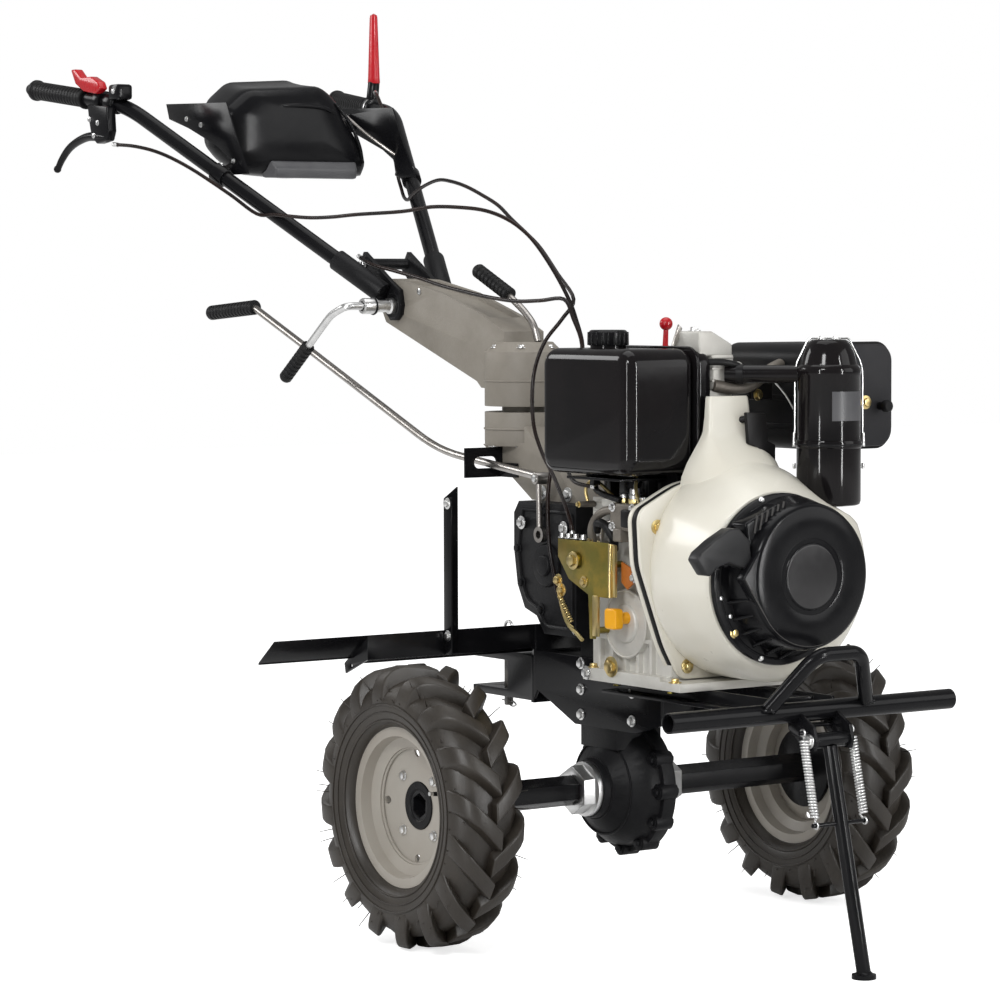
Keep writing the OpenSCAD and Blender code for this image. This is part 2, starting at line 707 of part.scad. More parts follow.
// Fender on the left side: skirt, sloping sheet, end gusset and wing
module fender() {
    skirt_z = fender_h - 37;
    sheet = [[-160, fender_h], [-162, fender_h - 4], [-225, fender_h - 49.5], [-225, fender_h - 46.5]];
    wing = [[-160, fender_h], [-162, fender_h - 4], [-205, fender_h - 38], [-205, fender_h - 35]];
    plate([[-163, skirt_z], [-160, skirt_z], [-160, fender_h], [-163, fender_h - 2]], 4, fender_mid);
    plate(sheet, 4, fender_mid);
    plate(wing, fender_mid - 1, fender_out);
    difference() {
        plate([[-160, fender_h - 2], [-162, skirt_z], [-222, fender_h - 62], [-225, fender_h - 48]],
            fender_mid - 3, fender_mid);
        across(-206, fender_h - 49, fender_mid - 5, fender_mid + 2, 3);
    }
}
module fender_left() { color("#1f1f1f") machine() fender(); }
module fender_right() { color("#1f1f1f") machine() mirror([0, 1, 0]) fender(); }

// Upright angle behind the right fender's skirt, with a slanted top
module fender_post() {
    foot_z = frame_top + 4;
    top_z = fender_h + post_len;
    color("#141416") machine() difference() {
        translate([-160, -200, foot_z]) linear_extrude(top_z - foot_z)
            polygon([[0.3, -12], [0.3, 12], [3.3, 12], [3.3, -9], [20, -9], [20, -12]]);
        translate([-170, -214, top_z - 18]) rotate([35, 0, 0]) cube([40, 40, 40]);
    }
}

// Rear hitch: two jaws joined by side walls, open to the rear
hitch_x = -293;
hitch_pin_r = 7;
module hitch() {
    color("#161618") machine() difference() {
        union() {
            block([-345, -32, 170], [-160, 32, 184]);
            block([-345, -32, 113], [-160, 32, 125]);
            block([-250, -32, 120], [-160, -24, 175]);
            block([-250, 24, 120], [-160, 32, 175]);
            block([-168, -46, 113], [-160, 46, 184]);
        }
        translate([hitch_x, 0, 100]) cylinder(h = 100, r = hitch_pin_r + seat_gap);
    }
}

// Hitch pin with its pull ring and the clip under the jaws
module hitch_pin() {
    color("#3a3a3c") machine() {
        translate([hitch_x, 0, 94]) cylinder(h = 112, r = hitch_pin_r);
        translate([hitch_x, 0, 184]) cylinder(h = 7, r = 11);
        translate([hitch_x, 0, 216]) rotate([90, 0, 0]) rotate_extrude() translate([10, 0]) circle(r = 2.5, $fn = 24);
        rod([hitch_x - 18, 0, 101], [hitch_x + 18, 0, 101], 1.5);
    }
}

rod_y = -72;
rod_r = 6;
// Gear shift rod with its grip, and the link down to the gearbox's side
module shift_rod() {
    joint = [-93, rod_y, 461];
    color("#7b7873") machine() {
        bar([[-946, rod_y, 718], [-786, rod_y, 655], [-380, rod_y, 493], joint], rod_r);
        rod([-1085, rod_y, 706], [-937, rod_y, 716], 13);
        across(joint.x, joint.z, -92, rod_y, 9);
        difference() {
            union() {
                rod([joint.x, -84, joint.z], [joint.x - 2, -81, 388], 4.5);
                across(joint.x - 2, 376, -84, -75.3, 12);
            }
            across(joint.x - 2, 376, -90, -70, 6);
        }
    }
}

// Gate plate that guides the shift rod, flat against the column's side
module shift_gate() {
    color("#18181a") machine() difference() {
        union() {
            block([-252, -112, 456], [-248, -42, 502]);
            block([-252, -46, 456], [-205, -42, 478]);
        }
        hull() for (y = [rod_y - 14, rod_y + 10])
            translate([-260, y, 479]) rotate([0, 90, 0]) cylinder(h = 20, r = 9, $fn = 32);
        plate([[swivel_x - 80, 505], [swivel_x - 52, 505], [-170, 424], [-300, 424]], -44, -41.9);
    }
}

// Grey arm of the column, from its swivel flange up to the tilt bolt
module column_arm() {
    color("#85807a") machine() difference() {
        union() {
            translate([swivel_x, 0, arm_bottom]) cylinder(h = 84, r = flange_r);
            translate([swivel_x, 0, arm_bottom + 83]) cylinder(h = 16, r1 = flange_r, r2 = flange_r - 16);
            plate([[swivel_x, 590], [-312, 592], [-324, 602], [tilt_x + 40, tilt_h - 51],
                [tilt_x - 33, tilt_h - 26], [tilt_x - 47, tilt_h - 3], [tilt_x - 40, tilt_h + 33],
                [tilt_x - 25, tilt_h + 44], [tilt_x + 12, tilt_h + 42], [tilt_x + 127, tilt_h + 21],
                [-311, 706], [swivel_x, 680]], -arm_half, arm_half);
        }
        translate([swivel_x, 0, arm_bottom - 1]) cylinder(h = spigot_h + 1 + seat_gap, r = spigot_r + run_gap);
        across(tilt_x, tilt_h, -arm_half - 1, arm_half + 1, tilt_r + run_gap);
        plate([[-300, 694], [-300, 720], [tilt_x + 120, tilt_h + 41], [tilt_x + 20, tilt_h + 56],
            [tilt_x + 20, tilt_h + 32], [tilt_x + 127, tilt_h + 12]], -arm_half + 8, arm_half - 8);
    }
}

// Front gear lever on the arm, with its grip
module gear_lever() {
    arm_top = arm_bottom + 99;
    color("#8f8c86") machine() difference() {
        union() {
            bar([[-212, 0, arm_top - 8], [-222, 0, 690], [-249, 0, 712], [-290, 0, 738]], 5.5);
            rod([-287, 0, 736], [-377, 0, 776], 12);
        }
        block([-240, -20, arm_top - 20], [-190, 20, arm_top + seat_gap]);
    }
}

tube_dir = unit(tube_bend - tube_low);
// Black yoke: cheeks on the arm's sides, sockets of the handle tubes and the bar between
module yoke() {
    cheek_in = arm_half + seat_gap;
    cheek = [for (p = [[24, 2], [20, -14], [8, -23], [-8, -23], [-104, 60], [-86, 88], [-8, 40], [18, 26]])
        [tilt_x + p.x, tilt_h + p.y]];
    color("#161618") machine() difference() {
        union() {
            both_sides() {
                plate(cheek, cheek_in, cheek_in + 8);
                rod(tube_low, tube_low + tube_dir * 104, tube_r + 5);
            }
            across(tilt_x - 88, tilt_h + 68, -cheek_in - 6, cheek_in + 6, 9);
        }
        both_sides() rod(tube_low + tube_dir * 8, tube_low + tube_dir * 120, tube_r + seat_gap);
        across(tilt_x, tilt_h, -60, 60, tilt_r + run_gap);
        block([tilt_x - 60, -cheek_in, tilt_h - 60], [tilt_x + 60, cheek_in, tilt_h + 52]);
    }
}

// Pair of handle tubes with the bend below each grip
module handle_tubes() {
    color("#1c1c1f") machine() both_sides()
        bar([tube_low + tube_dir * 8.3, tube_bend, tube_end + unit(tube_bend - tube_end) * 5], tube_r);
}

module grips() {
    start = tube_end + unit(tube_bend - tube_end) * grip_len;
    color("#151516") machine() both_sides() toward(start, tube_end) difference() {
        union() {
            cylinder(h = grip_len, r = grip_r);
            translate([0, 0, grip_len - 1]) cylinder(h = grip_r + 1, r1 = grip_r, r2 = grip_r - 7);
        }
        translate([0, 0, -1]) cylinder(h = grip_len - 4 + seat_gap, r = tube_r + seat_gap);
    }
}

clamp_at = between(tube_low, tube_bend, 0.62);
// Side plates between the handle tubes, the cross plate and two tube clamps
module dash_frame() {
    inner_y = 163;
    color("#17171a") machine() difference() {
        union() {
            both_sides() {
                plate([[-1070, 1062], [-1060, 1036], [-994, 1018], [-900, 985], [-868, 968], [-850, 936],
                    [-800, 936], [-840, 1000], [-870, 1056]], inner_y, inner_y + 3);
                rod([clamp_at.x - 4, inner_y + 1, clamp_at.z + 12], [clamp_at.x, clamp_at.y, clamp_at.z], 9);
                rod(clamp_at - tube_dir * 12, clamp_at + tube_dir * 12, tube_r + 4);
            }
            block([-1003, -inner_y - 1, 1022], [-1000, inner_y + 1, 1050]);
        }
        both_sides() rod(tube_low, tube_bend, tube_r + seat_gap);
    }
}

// Moulded cover between the side plates, with the lip along its lower edge
module dash_cover() {
    front = [[-100, 1088], [88, 1088], [118, 1052], [150, 972], [142, 942], [-112, 940], [-150, 962], [-146, 1050]];
    color("#1a1a1c") machine() {
        hull() {
            translate([-906, 0, 0]) rotate([90, 0, 90]) linear_extrude(4) offset(r = -8) polygon(front);
            translate([-925, 0, 0]) rotate([90, 0, 90]) linear_extrude(4) polygon(front);
            translate([-999.7, 0, 0]) rotate([90, 0, 90]) linear_extrude(4)
                polygon([[-96, 1080], [84, 1080], [130, 1045], [130, 1020], [-130, 1020], [-130, 1045]]);
        }
        hull() {
            block([-904, -72, 932], [-900, 106, 966]);
            block([-886, -62, 932], [-882, 96, 950]);
        }
    }
}

crank_y = -136;
// Tilt bolt with its collar, bent crank and ribbed grip
module clamp_crank() {
    low = [tilt_x - 188, crank_y, tilt_h - 119];
    knee = [tilt_x - 44, crank_y, tilt_h - 14];
    color("silver") machine() {
        across(tilt_x, tilt_h, -60, arm_half + 16, tilt_r);
        across(tilt_x, tilt_h, arm_half + 8.6, arm_half + 20, 14);
        across(tilt_x, tilt_h, -106, -arm_half - 8.6, 13);
        bar([[tilt_x, -100, tilt_h], [tilt_x, crank_y, tilt_h], knee, low], 6);
        rod(between(low, knee, 0.52), low, 11);
    }
}

// Clutch lever under the right handle: clamp, perch and curved blade
module clutch_lever() {
    at = between(tube_bend, tube_end, 0.12);
    dir = unit(tube_end - tube_bend);
    color("#1a1a1c") machine() mirror([0, 1, 0]) difference() {
        union() {
            rod(at - dir * 11, at + dir * 11, tube_r + 6);
            bar([at, [-1058, 285, 1030], [-1066, 290, 1000]], 10);
            bar([[-1066, 290, 1000], [-1120, 292, 1004], [-1185, 292, 988], [-1228, 292, 952]], 5.5);
        }
        rod(tube_bend, tube_end, tube_r + seat_gap);
    }
}

// Red thumb lever above the right handle
module thumb_lever() {
    at = between(tube_bend, tube_end, 0.26);
    dir = unit(tube_end - tube_bend);
    color("#e01b22") machine() mirror([0, 1, 0]) difference() {
        union() {
            rod(at - dir * 7, at + dir * 7, tube_r + 6);
            bar([at + [0, 4, 14], [-1110, 291, 1092], [-1164, 294, 1116]], 6);
        }
        rod(tube_bend, tube_end, tube_r + seat_gap);
    }
}

// Tall red stop lever on the left handle, with its clamp
module stop_lever() {
    at = between(tube_bend, tube_end, 0.36);
    dir = unit(tube_end - tube_bend);
    color("#b41c2c") machine() difference() {
        union() {
            rod(at - dir * 12, at + dir * 12, tube_r + 6);
            rod(at + [0, 0, 10], at + [0, 4, 46], 11);
            translate(at + [0, 4, 44]) cylinder(h = 118, r1 = 10, r2 = 6);
            translate(at + [0, 4, 162]) sphere(r = 6);
        }
        rod(tube_bend, tube_end, tube_r + seat_gap);
    }
}

module clutch_cable() { color("#1a1010") machine() cable(clutch_route, cable_r); }
module throttle_cable() { color("#1a1010") machine() cable(throttle_route, cable_r); }
module stop_cable() { color("#1a1010") machine() cable(stop_route, cable_r); }

axle_shaft();
hub_left();
hub_right();
rim_left();
rim_right();
tyre_left();
tyre_right();
gear_case();
axle_nuts();
frame();
gearbox();
column_base();
crankcase();
cylinder_head();
fan_shroud();
recoil_starter();
fuel_tank();
tank_bracket();
fuel_cap();
muffler();
air_cleaner();
governor_plate();
injection_pump();
oil_filler();
decompression_lever();
bumper();
stand_bracket();
stand_leg();
stand_springs();
fender_left();
fender_right();
fender_post();
hitch();
hitch_pin();
shift_rod();
shift_gate();
column_arm();
gear_lever();
yoke();
handle_tubes();
grips();
dash_frame();
dash_cover();
clamp_crank();
clutch_lever();
thumb_lever();
stop_lever();
clutch_cable();
throttle_cable();
stop_cable();
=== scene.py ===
"""Looks of the walk-behind power tiller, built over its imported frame."""
import math
import random

import bmesh
import bpy
from mathutils import Matrix, Vector


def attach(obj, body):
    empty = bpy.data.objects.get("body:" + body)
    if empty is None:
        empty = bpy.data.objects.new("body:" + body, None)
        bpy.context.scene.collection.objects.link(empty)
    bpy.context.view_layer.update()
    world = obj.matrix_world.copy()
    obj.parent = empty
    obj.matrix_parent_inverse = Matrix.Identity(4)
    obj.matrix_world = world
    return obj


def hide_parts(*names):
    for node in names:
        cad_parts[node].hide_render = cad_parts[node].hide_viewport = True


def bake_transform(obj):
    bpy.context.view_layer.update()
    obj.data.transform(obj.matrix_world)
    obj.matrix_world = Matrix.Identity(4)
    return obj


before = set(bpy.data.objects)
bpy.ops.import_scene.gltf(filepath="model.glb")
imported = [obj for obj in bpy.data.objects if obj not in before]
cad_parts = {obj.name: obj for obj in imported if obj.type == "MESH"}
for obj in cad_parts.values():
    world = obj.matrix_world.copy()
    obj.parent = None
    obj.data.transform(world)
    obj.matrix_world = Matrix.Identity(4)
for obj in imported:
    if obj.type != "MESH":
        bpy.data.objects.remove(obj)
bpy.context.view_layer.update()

# Shapes are modelled in millimetres from the axle's centre: x forward, y left, z up
AXLE = Vector((357.5, 0.0, 206.0))
FORWARD, LEFT, RIGHT = (1, 0, 0), (0, 1, 0), (0, -1, 0)
UP, DOWN = (0, 0, 1), (0, 0, -1)

# Lines that several pieces share: the engine's shaft, the column's upright axis and the tilt bolt
SHAFT_Z = 343
COLUMN_X = -250
TILT_X, TILT_Z = -550, 719


# Finishes

class Wire:
    """One output of a material's node, with arithmetic that adds Math nodes."""

    def __init__(self, tree, socket):
        self.tree, self.socket = tree, socket

    def __add__(self, other):
        return maths("ADD", self, other)

    def __mul__(self, other):
        return maths("MULTIPLY", self, other)

    def __sub__(self, other):
        return maths("SUBTRACT", self, other)

    def span(self, low, high):
        """0 below low, 1 above high, and a smooth step between."""
        node = self.tree.nodes.new("ShaderNodeMapRange")
        node.interpolation_type = "SMOOTHSTEP"
        for key, value in (("Value", self), ("From Min", low), ("From Max", high)):
            plug(self.tree, node.inputs[key], value)
        return Wire(self.tree, node.outputs["Result"])


def plug(tree, socket, value):
    if isinstance(value, Wire):
        tree.links.new(value.socket, socket)
    elif hasattr(socket.default_value, "__len__") and len(value) == 3 and len(socket.default_value) == 4:
        socket.default_value = (*value, 1)
    else:
        socket.default_value = value


def maths(operation, *values):
    tree = next(v.tree for v in values if isinstance(v, Wire))
    node = tree.nodes.new("ShaderNodeMath")
    node.operation = operation
    for socket, value in zip(node.inputs, values):
        plug(tree, socket, value)
    return Wire(tree, node.outputs[0])


class Finish:
    """A material on a Principled shader."""

    def __init__(self, name, **uniform):
        self.material = bpy.data.materials.new(name)
        self.material.use_nodes = True
        self.tree = self.material.node_tree
        self.shader = self.tree.nodes["Principled BSDF"]
        self.set(**uniform)
        self.place = self.node("ShaderNodeTexCoord", out="Object")

    def node(self, kind, settings=(), inputs=(), out=0):
        node = self.tree.nodes.new(kind)
        for key, value in dict(settings).items():
            setattr(node, key, value)
        for key, value in dict(inputs).items():
            plug(self.tree, node.inputs[key], value)
        return Wire(self.tree, node.outputs[out])

    def set(self, **sockets):
        for key, value in sockets.items():
            plug(self.tree, self.shader.inputs[key.replace("_", " ")], value)

    def noise(self, scale, detail=3, rough=0.5):
        settings = {"Vector": self.place, "Scale": scale, "Detail": detail, "Roughness": rough}
        return self.node("ShaderNodeTexNoise", {}, settings)

    def up(self):
        """1 where the surface looks up, 0 where it looks sideways or down."""
        normal = self.node("ShaderNodeNewGeometry", out="Normal")
        return self.node("ShaderNodeSeparateXYZ", {}, {"Vector": normal}, "Z").span(0.2, 0.9)

    def blend(self, factor, a, b):
        return self.node("ShaderNodeMix", {"data_type": "RGBA"}, {0: factor, 6: a, 7: b}, 2)

    def bump(self, height, strength):
        settings = {"Height": height, "Strength": strength, "Distance": 0.001}
        self.set(Normal=self.node("ShaderNodeBump", {}, settings))


def paint(name, colour, worn, rough, coat, gloss, relief=0.05):
    """Paint with faint orange peel, a colour that drifts a little, and a film of dust on top faces."""
    f = Finish(name, Coat_Roughness=0.08, Specular_IOR_Level=gloss)
    drift = f.noise(9).span(0.35, 0.7)
    film = f.up() * f.noise(26, 6, 0.7).span(0.45, 0.8) * 0.05
    f.set(Base_Color=f.blend(film, f.blend(drift, colour, worn), (0.2, 0.18, 0.15)))
    f.set(Roughness=f.noise(60, 4) * 0.12 + film * 0.9 + (rough - 0.06))
    f.shader.inputs["Coat Weight"].default_value = coat
    f.bump(f.noise(220, 2), relief)
    return f.material


def casting(name, colour, worn, rough, metallic=0.0, gloss=0.25):
    """Sand-cast surface, painted or bare."""
    f = Finish(name, Specular_IOR_Level=gloss)
    sand = f.noise(330, 4, 0.65)
    patch = f.noise(14, 5, 0.6).span(0.35, 0.7)
    f.set(Base_Color=f.blend(patch * 0.8 + sand.span(0.6, 0.8) * 0.2, colour, worn), Metallic=metallic)
    f.set(Roughness=sand * 0.2 + patch * 0.1 + (rough - 0.1))
    f.bump(sand + f.noise(70, 3) * 0.6, 0.35)
    return f.material


def plated(name, colour, tint, rough=0.28):
    """Zinc plating, with cloudy colour and fine handling marks."""
    f = Finish(name, Metallic=1.0)
    cloud = f.noise(30, 4, 0.6)
    f.set(Base_Color=f.blend(cloud.span(0.35, 0.65), colour, tint))
    f.set(Roughness=f.noise(180, 3) * 0.16 + cloud * 0.1 + (rough - 0.1))
    f.bump(f.noise(500, 2), 0.012)
    return f.material


def moulded(name, colour, worn, rough, grain=1100, relief=0.12, coat=0.0, gloss=0.25):
    """Moulded plastic or rubber with a fine spark-eroded grain."""
    f = Finish(name, Specular_IOR_Level=gloss)
    f.shader.inputs["Coat Weight"].default_value = coat
    drift = f.noise(16, 4).span(0.35, 0.7)
    film = f.up() * f.noise(30, 6, 0.7).span(0.5, 0.8) * 0.04
    f.set(Base_Color=f.blend(film, f.blend(drift, colour, worn), (0.2, 0.18, 0.16)))
    f.set(Roughness=f.noise(90, 3) * 0.14 + film + (rough - 0.07))
    f.bump(f.noise(grain, 2), relief)
    return f.material


BLACK = paint("black_gloss_paint", (0.006, 0.006, 0.007), (0.009, 0.009, 0.010), 0.2, 0.0, 0.14)
TANK_BLACK = paint("tank_gloss_paint", (0.006, 0.0055, 0.006), (0.009, 0.0075, 0.008), 0.1, 0.0, 0.2, 0.01)
HEAT_BLACK = paint("heat_black_paint", (0.009, 0.009, 0.010), (0.014, 0.013, 0.013), 0.36, 0.0, 0.12)
FACE_BLACK = paint("muffler_face_paint", (0.024, 0.024, 0.027), (0.034, 0.033, 0.035), 0.42, 0.0, 0.15)
CAST_BLACK = casting("black_casting", (0.007, 0.007, 0.008), (0.011, 0.011, 0.012), 0.36, gloss=0.14)
CAST_GREY = casting("grey_casting", (0.25, 0.228, 0.195), (0.21, 0.19, 0.16), 0.46)
SHROUD = paint("off_white_paint", (0.74, 0.715, 0.63), (0.70, 0.67, 0.58), 0.3, 0.15, 0.4)
RIM = paint("rim_grey_paint", (0.36, 0.335, 0.295), (0.32, 0.29, 0.25), 0.36, 0.1, 0.35)
ALLOY = casting("raw_alloy", (0.60, 0.59, 0.55), (0.48, 0.465, 0.43), 0.42, 0.2, gloss=0.4)
DULL_ALLOY = casting("oily_alloy", (0.19, 0.17, 0.145), (0.075, 0.065, 0.055), 0.4, 0.3, gloss=0.3)
ZINC = plated("bright_zinc", (0.74, 0.74, 0.73), (0.62, 0.62, 0.62))
GOLD = plated("yellow_zinc", (0.33, 0.245, 0.055), (0.22, 0.195, 0.05), 0.34)
PALE_GOLD = plated("pale_yellow_zinc", (0.66, 0.50, 0.22), (0.50, 0.42, 0.20), 0.3)
OILED = plated("oiled_steel", (0.10, 0.10, 0.10), (0.16, 0.15, 0.14), 0.38)
STEEL = plated("drawn_steel", (0.42, 0.40, 0.38), (0.33, 0.31, 0.29), 0.3)
PLASTIC = moulded("black_plastic", (0.006, 0.006, 0.007), (0.009, 0.009, 0.010), 0.2, gloss=0.14, relief=0.04)
GREY = moulded("grey_plastic", (0.055, 0.052, 0.050), (0.070, 0.067, 0.064), 0.42)
BLANK = moulded("blank_plate", (0.085, 0.085, 0.09), (0.11, 0.11, 0.115), 0.32, relief=0.03)
HANDLE_GREY = moulded("pull_handle_plastic", (0.02, 0.02, 0.021), (0.028, 0.028, 0.029), 0.35, gloss=0.2)
BADGE = moulded("blank_badge", (0.022, 0.021, 0.022), (0.032, 0.031, 0.032), 0.2, relief=0.01, gloss=0.4)
RED = moulded("red_plastic", (0.52, 0.008, 0.016), (0.44, 0.006, 0.012), 0.28, relief=0.03, coat=0.3)
ORANGE = moulded("orange_plastic", (0.50, 0.16, 0.03), (0.40, 0.12, 0.02), 0.4, relief=0.03)
YELLOW = moulded("yellow_plastic", (0.90, 0.42, 0.008), (0.80, 0.36, 0.006), 0.3, relief=0.03, coat=0.2)
GRIP = moulded("grip_rubber", (0.007, 0.007, 0.008), (0.011, 0.011, 0.011), 0.45, 700, 0.25, gloss=0.16)
SHEATH = moulded("cable_sheath", (0.016, 0.008, 0.006), (0.009, 0.007, 0.007), 0.28, 900, 0.05, gloss=0.2)


def tyre_rubber():
    f = Finish("tyre_rubber", Specular_IOR_Level=0.4)
    fine = f.noise(420, 3, 0.6)
    soil = f.noise(12, 6, 0.7).span(0.42, 0.72)
    f.set(Base_Color=f.blend(soil * 0.6, (0.026, 0.021, 0.016), (0.046, 0.038, 0.029)))
    f.set(Roughness=fine * 0.12 + soil * 0.12 + 0.34)
    f.bump(fine + f.noise(90, 2) * 0.5, 0.22)
    return f.material


RUBBER = tyre_rubber()


# Modelling

def soften(bm, width, segments=2, angle=28):
    """Rounds the edges that turn by more than an angle."""
    if width:
        edges = [e for e in bm.edges if e.is_manifold and e.calc_face_angle(0) > math.radians(angle)]
        bmesh.ops.bevel(bm, geom=edges, offset=width, segments=segments, profile=0.5,
                        affect="EDGES", material=-1, clamp_overlap=True)
    return bm


def turned_to(bm, centre, direction):
    """Turns a shape's Z axis to a direction, at a centre."""
    turn = Vector(direction).to_track_quat("Z", "Y").to_matrix().to_4x4()
    bmesh.ops.transform(bm, matrix=Matrix.Translation(centre) @ turn, verts=bm.verts)
    return bm


def block(x, y, z, round):
    bm = bmesh.new()
    bmesh.ops.create_cube(bm, size=1)
    bmesh.ops.scale(bm, vec=(x[1] - x[0], y[1] - y[0], z[1] - z[0]), verts=bm.verts)
    bmesh.ops.translate(bm, vec=((x[0] + x[1]) / 2, (y[0] + y[1]) / 2, (z[0] + z[1]) / 2), verts=bm.verts)
    return soften(bm, round)


def prism(outline, low, high, axis, round=0, segments=2):
    """An outline pushed along an axis. Its points are (x, z), (y, z) or (x, y)."""
    place = {"x": lambda a, b: (low, a, b),
             "y": lambda a, b: (a, low, b),
             "z": lambda a, b: (a, b, low)}[axis]
    bm = bmesh.new()
    face = bm.faces.new([bm.verts.new(place(*p)) for p in outline])
    made = bmesh.ops.extrude_face_region(bm, geom=[face])["geom"]
    step = Vector([high - low if k == axis else 0 for k in "xyz"])
    bmesh.ops.translate(bm, vec=step, verts=[v for v in made if isinstance(v, bmesh.types.BMVert)])
    bmesh.ops.recalc_face_normals(bm, faces=bm.faces)
    return soften(bm, round, segments)


def bar(a, b, r, tip=None, sides=32, round=0):
    """A round bar or cone from a to b."""
    a, b = Vector(a), Vector(b)
    bm = bmesh.new()
    bmesh.ops.create_cone(bm, cap_ends=True, segments=sides, radius1=r, radius2=r if tip is None else tip,
                          depth=(b - a).length)
    return turned_to(soften(bm, round), (a + b) / 2, b - a)


def ball(centre, r):
    bm = bmesh.new()
    bmesh.ops.create_uvsphere(bm, u_segments=24, v_segments=14, radius=r)
    bmesh.ops.translate(bm, vec=centre, verts=bm.verts)
    return bm


def lathe(profile, centre, axis, sides, ring=False):
    """A profile of (radius, distance along the axis) turned about the axis."""
    bm = bmesh.new()
    verts = [bm.verts.new((r, 0, h)) for r, h in profile]
    edges = [bm.edges.new(pair) for pair in zip(verts, verts[1:] + verts[:1] if ring else verts[1:])]
    bmesh.ops.spin(bm, geom=verts + edges, cent=(0, 0, 0), axis=(0, 0, 1), dvec=(0, 0, 0),
                   angle=math.tau, steps=sides, use_merge=True)
    bmesh.ops.remove_doubles(bm, verts=bm.verts, dist=1e-3)
    bmesh.ops.recalc_face_normals(bm, faces=bm.faces)
    return turned_to(bm, centre, axis)


def rounded(points, radius, steps=6):
    """A path with its corners rounded off."""
    points = [Vector(p) for p in points]
    path = [points[0]]
    for a, p, b in zip(points, points[1:], points[2:]):
        t = min(radius, (a - p).length * 0.48, (b - p).length * 0.48)
        s, e = p + (a - p).normalized() * t, p + (b - p).normalized() * t
        for k in range(steps + 1):
            u = k / steps
            path.append(s * (1 - u) ** 2 + p * 2 * u * (1 - u) + e * u * u)
    return path + [points[-1]]


def flowing(points, steps):
    """A smooth path through points."""
    points = [Vector(p) for p in points]
    ends = [points[0] * 2 - points[1]] + points + [points[-1] * 2 - points[-2]]
    path = []
    for a, b, c, d in zip(ends, ends[1:], ends[2:], ends[3:]):
        for k in range(steps):
            u = k / steps
            path.append((b * 2 + (c - a) * u + (a * 2 - b * 5 + c * 4 - d) * u * u
                         + (b * 3 - a - c * 3 + d) * u ** 3) / 2)
    return path + [points[-1]]


def tube(path, r, sides, widths=None, closed=False):
    """A round tube along a path, whose thickness may vary."""
    curve = bpy.data.curves.new("path", "CURVE")
    curve.dimensions, curve.bevel_depth, curve.use_fill_caps = "3D", r, not closed
    curve.bevel_resolution = max(sides // 2 - 2, 0)
    spline = curve.splines.new("POLY")
    spline.points.add(len(path) - 1)
    spline.use_cyclic_u = closed
    for k, (point, place) in enumerate(zip(spline.points, path)):
        point.co = (*place, 1)
        point.radius = widths[k] if widths else 1
    holder = bpy.data.objects.new("path", curve)
    mesh = bpy.data.meshes.new_from_object(holder)
    bm = bmesh.new()
    bm.from_mesh(mesh)
    bmesh.ops.remove_doubles(bm, verts=bm.verts, dist=1e-3)
    bmesh.ops.recalc_face_normals(bm, faces=bm.faces)
    bpy.data.objects.remove(holder)
    bpy.data.curves.remove(curve)
    bpy.data.meshes.remove(mesh)
    return bm


def hoop(centre, r, axis, wire, count=72, sides=8):
    """A ring of wire round an axis."""
    path = []
    for k in range(count):
        a = math.tau * k / count
        c, s = r * math.cos(a), r * math.sin(a)
        path.append(Vector(centre) + Vector({"x": (0, c, s), "y": (c, 0, s), "z": (c, s, 0)}[axis]))
    return tube(path, wire, sides, closed=True)


def loft(rings):
    """A skin over rings of points, with its two ends filled."""
    bm = bmesh.new()
    loops = []
    for ring in rings:
        verts = [bm.verts.new(p) for p in ring]
        loops.append([bm.edges.new(pair) for pair in zip(verts, verts[1:] + verts[:1])])
    for a, b in zip(loops, loops[1:]):
        bmesh.ops.bridge_loops(bm, edges=a + b)
    for loop in (loops[0], loops[-1]):
        bmesh.ops.contextual_create(bm, geom=loop)
    bmesh.ops.recalc_face_normals(bm, faces=bm.faces)
    return bm


def node_shape(node, round=0):
    """A copy of a solid of the frame, with its faces joined and its edges rounded."""
    bm = bmesh.new()
    bm.from_mesh(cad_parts[node].data)
    bmesh.ops.scale(bm, vec=(1000, 1000, 1000), verts=bm.verts)
    bmesh.ops.translate(bm, vec=-AXLE, verts=bm.verts)
    bmesh.ops.remove_doubles(bm, verts=bm.verts, dist=0.01)
    bmesh.ops.dissolve_limit(bm, angle_limit=math.radians(1), verts=bm.verts, edges=bm.edges)
    return soften(bm, round)


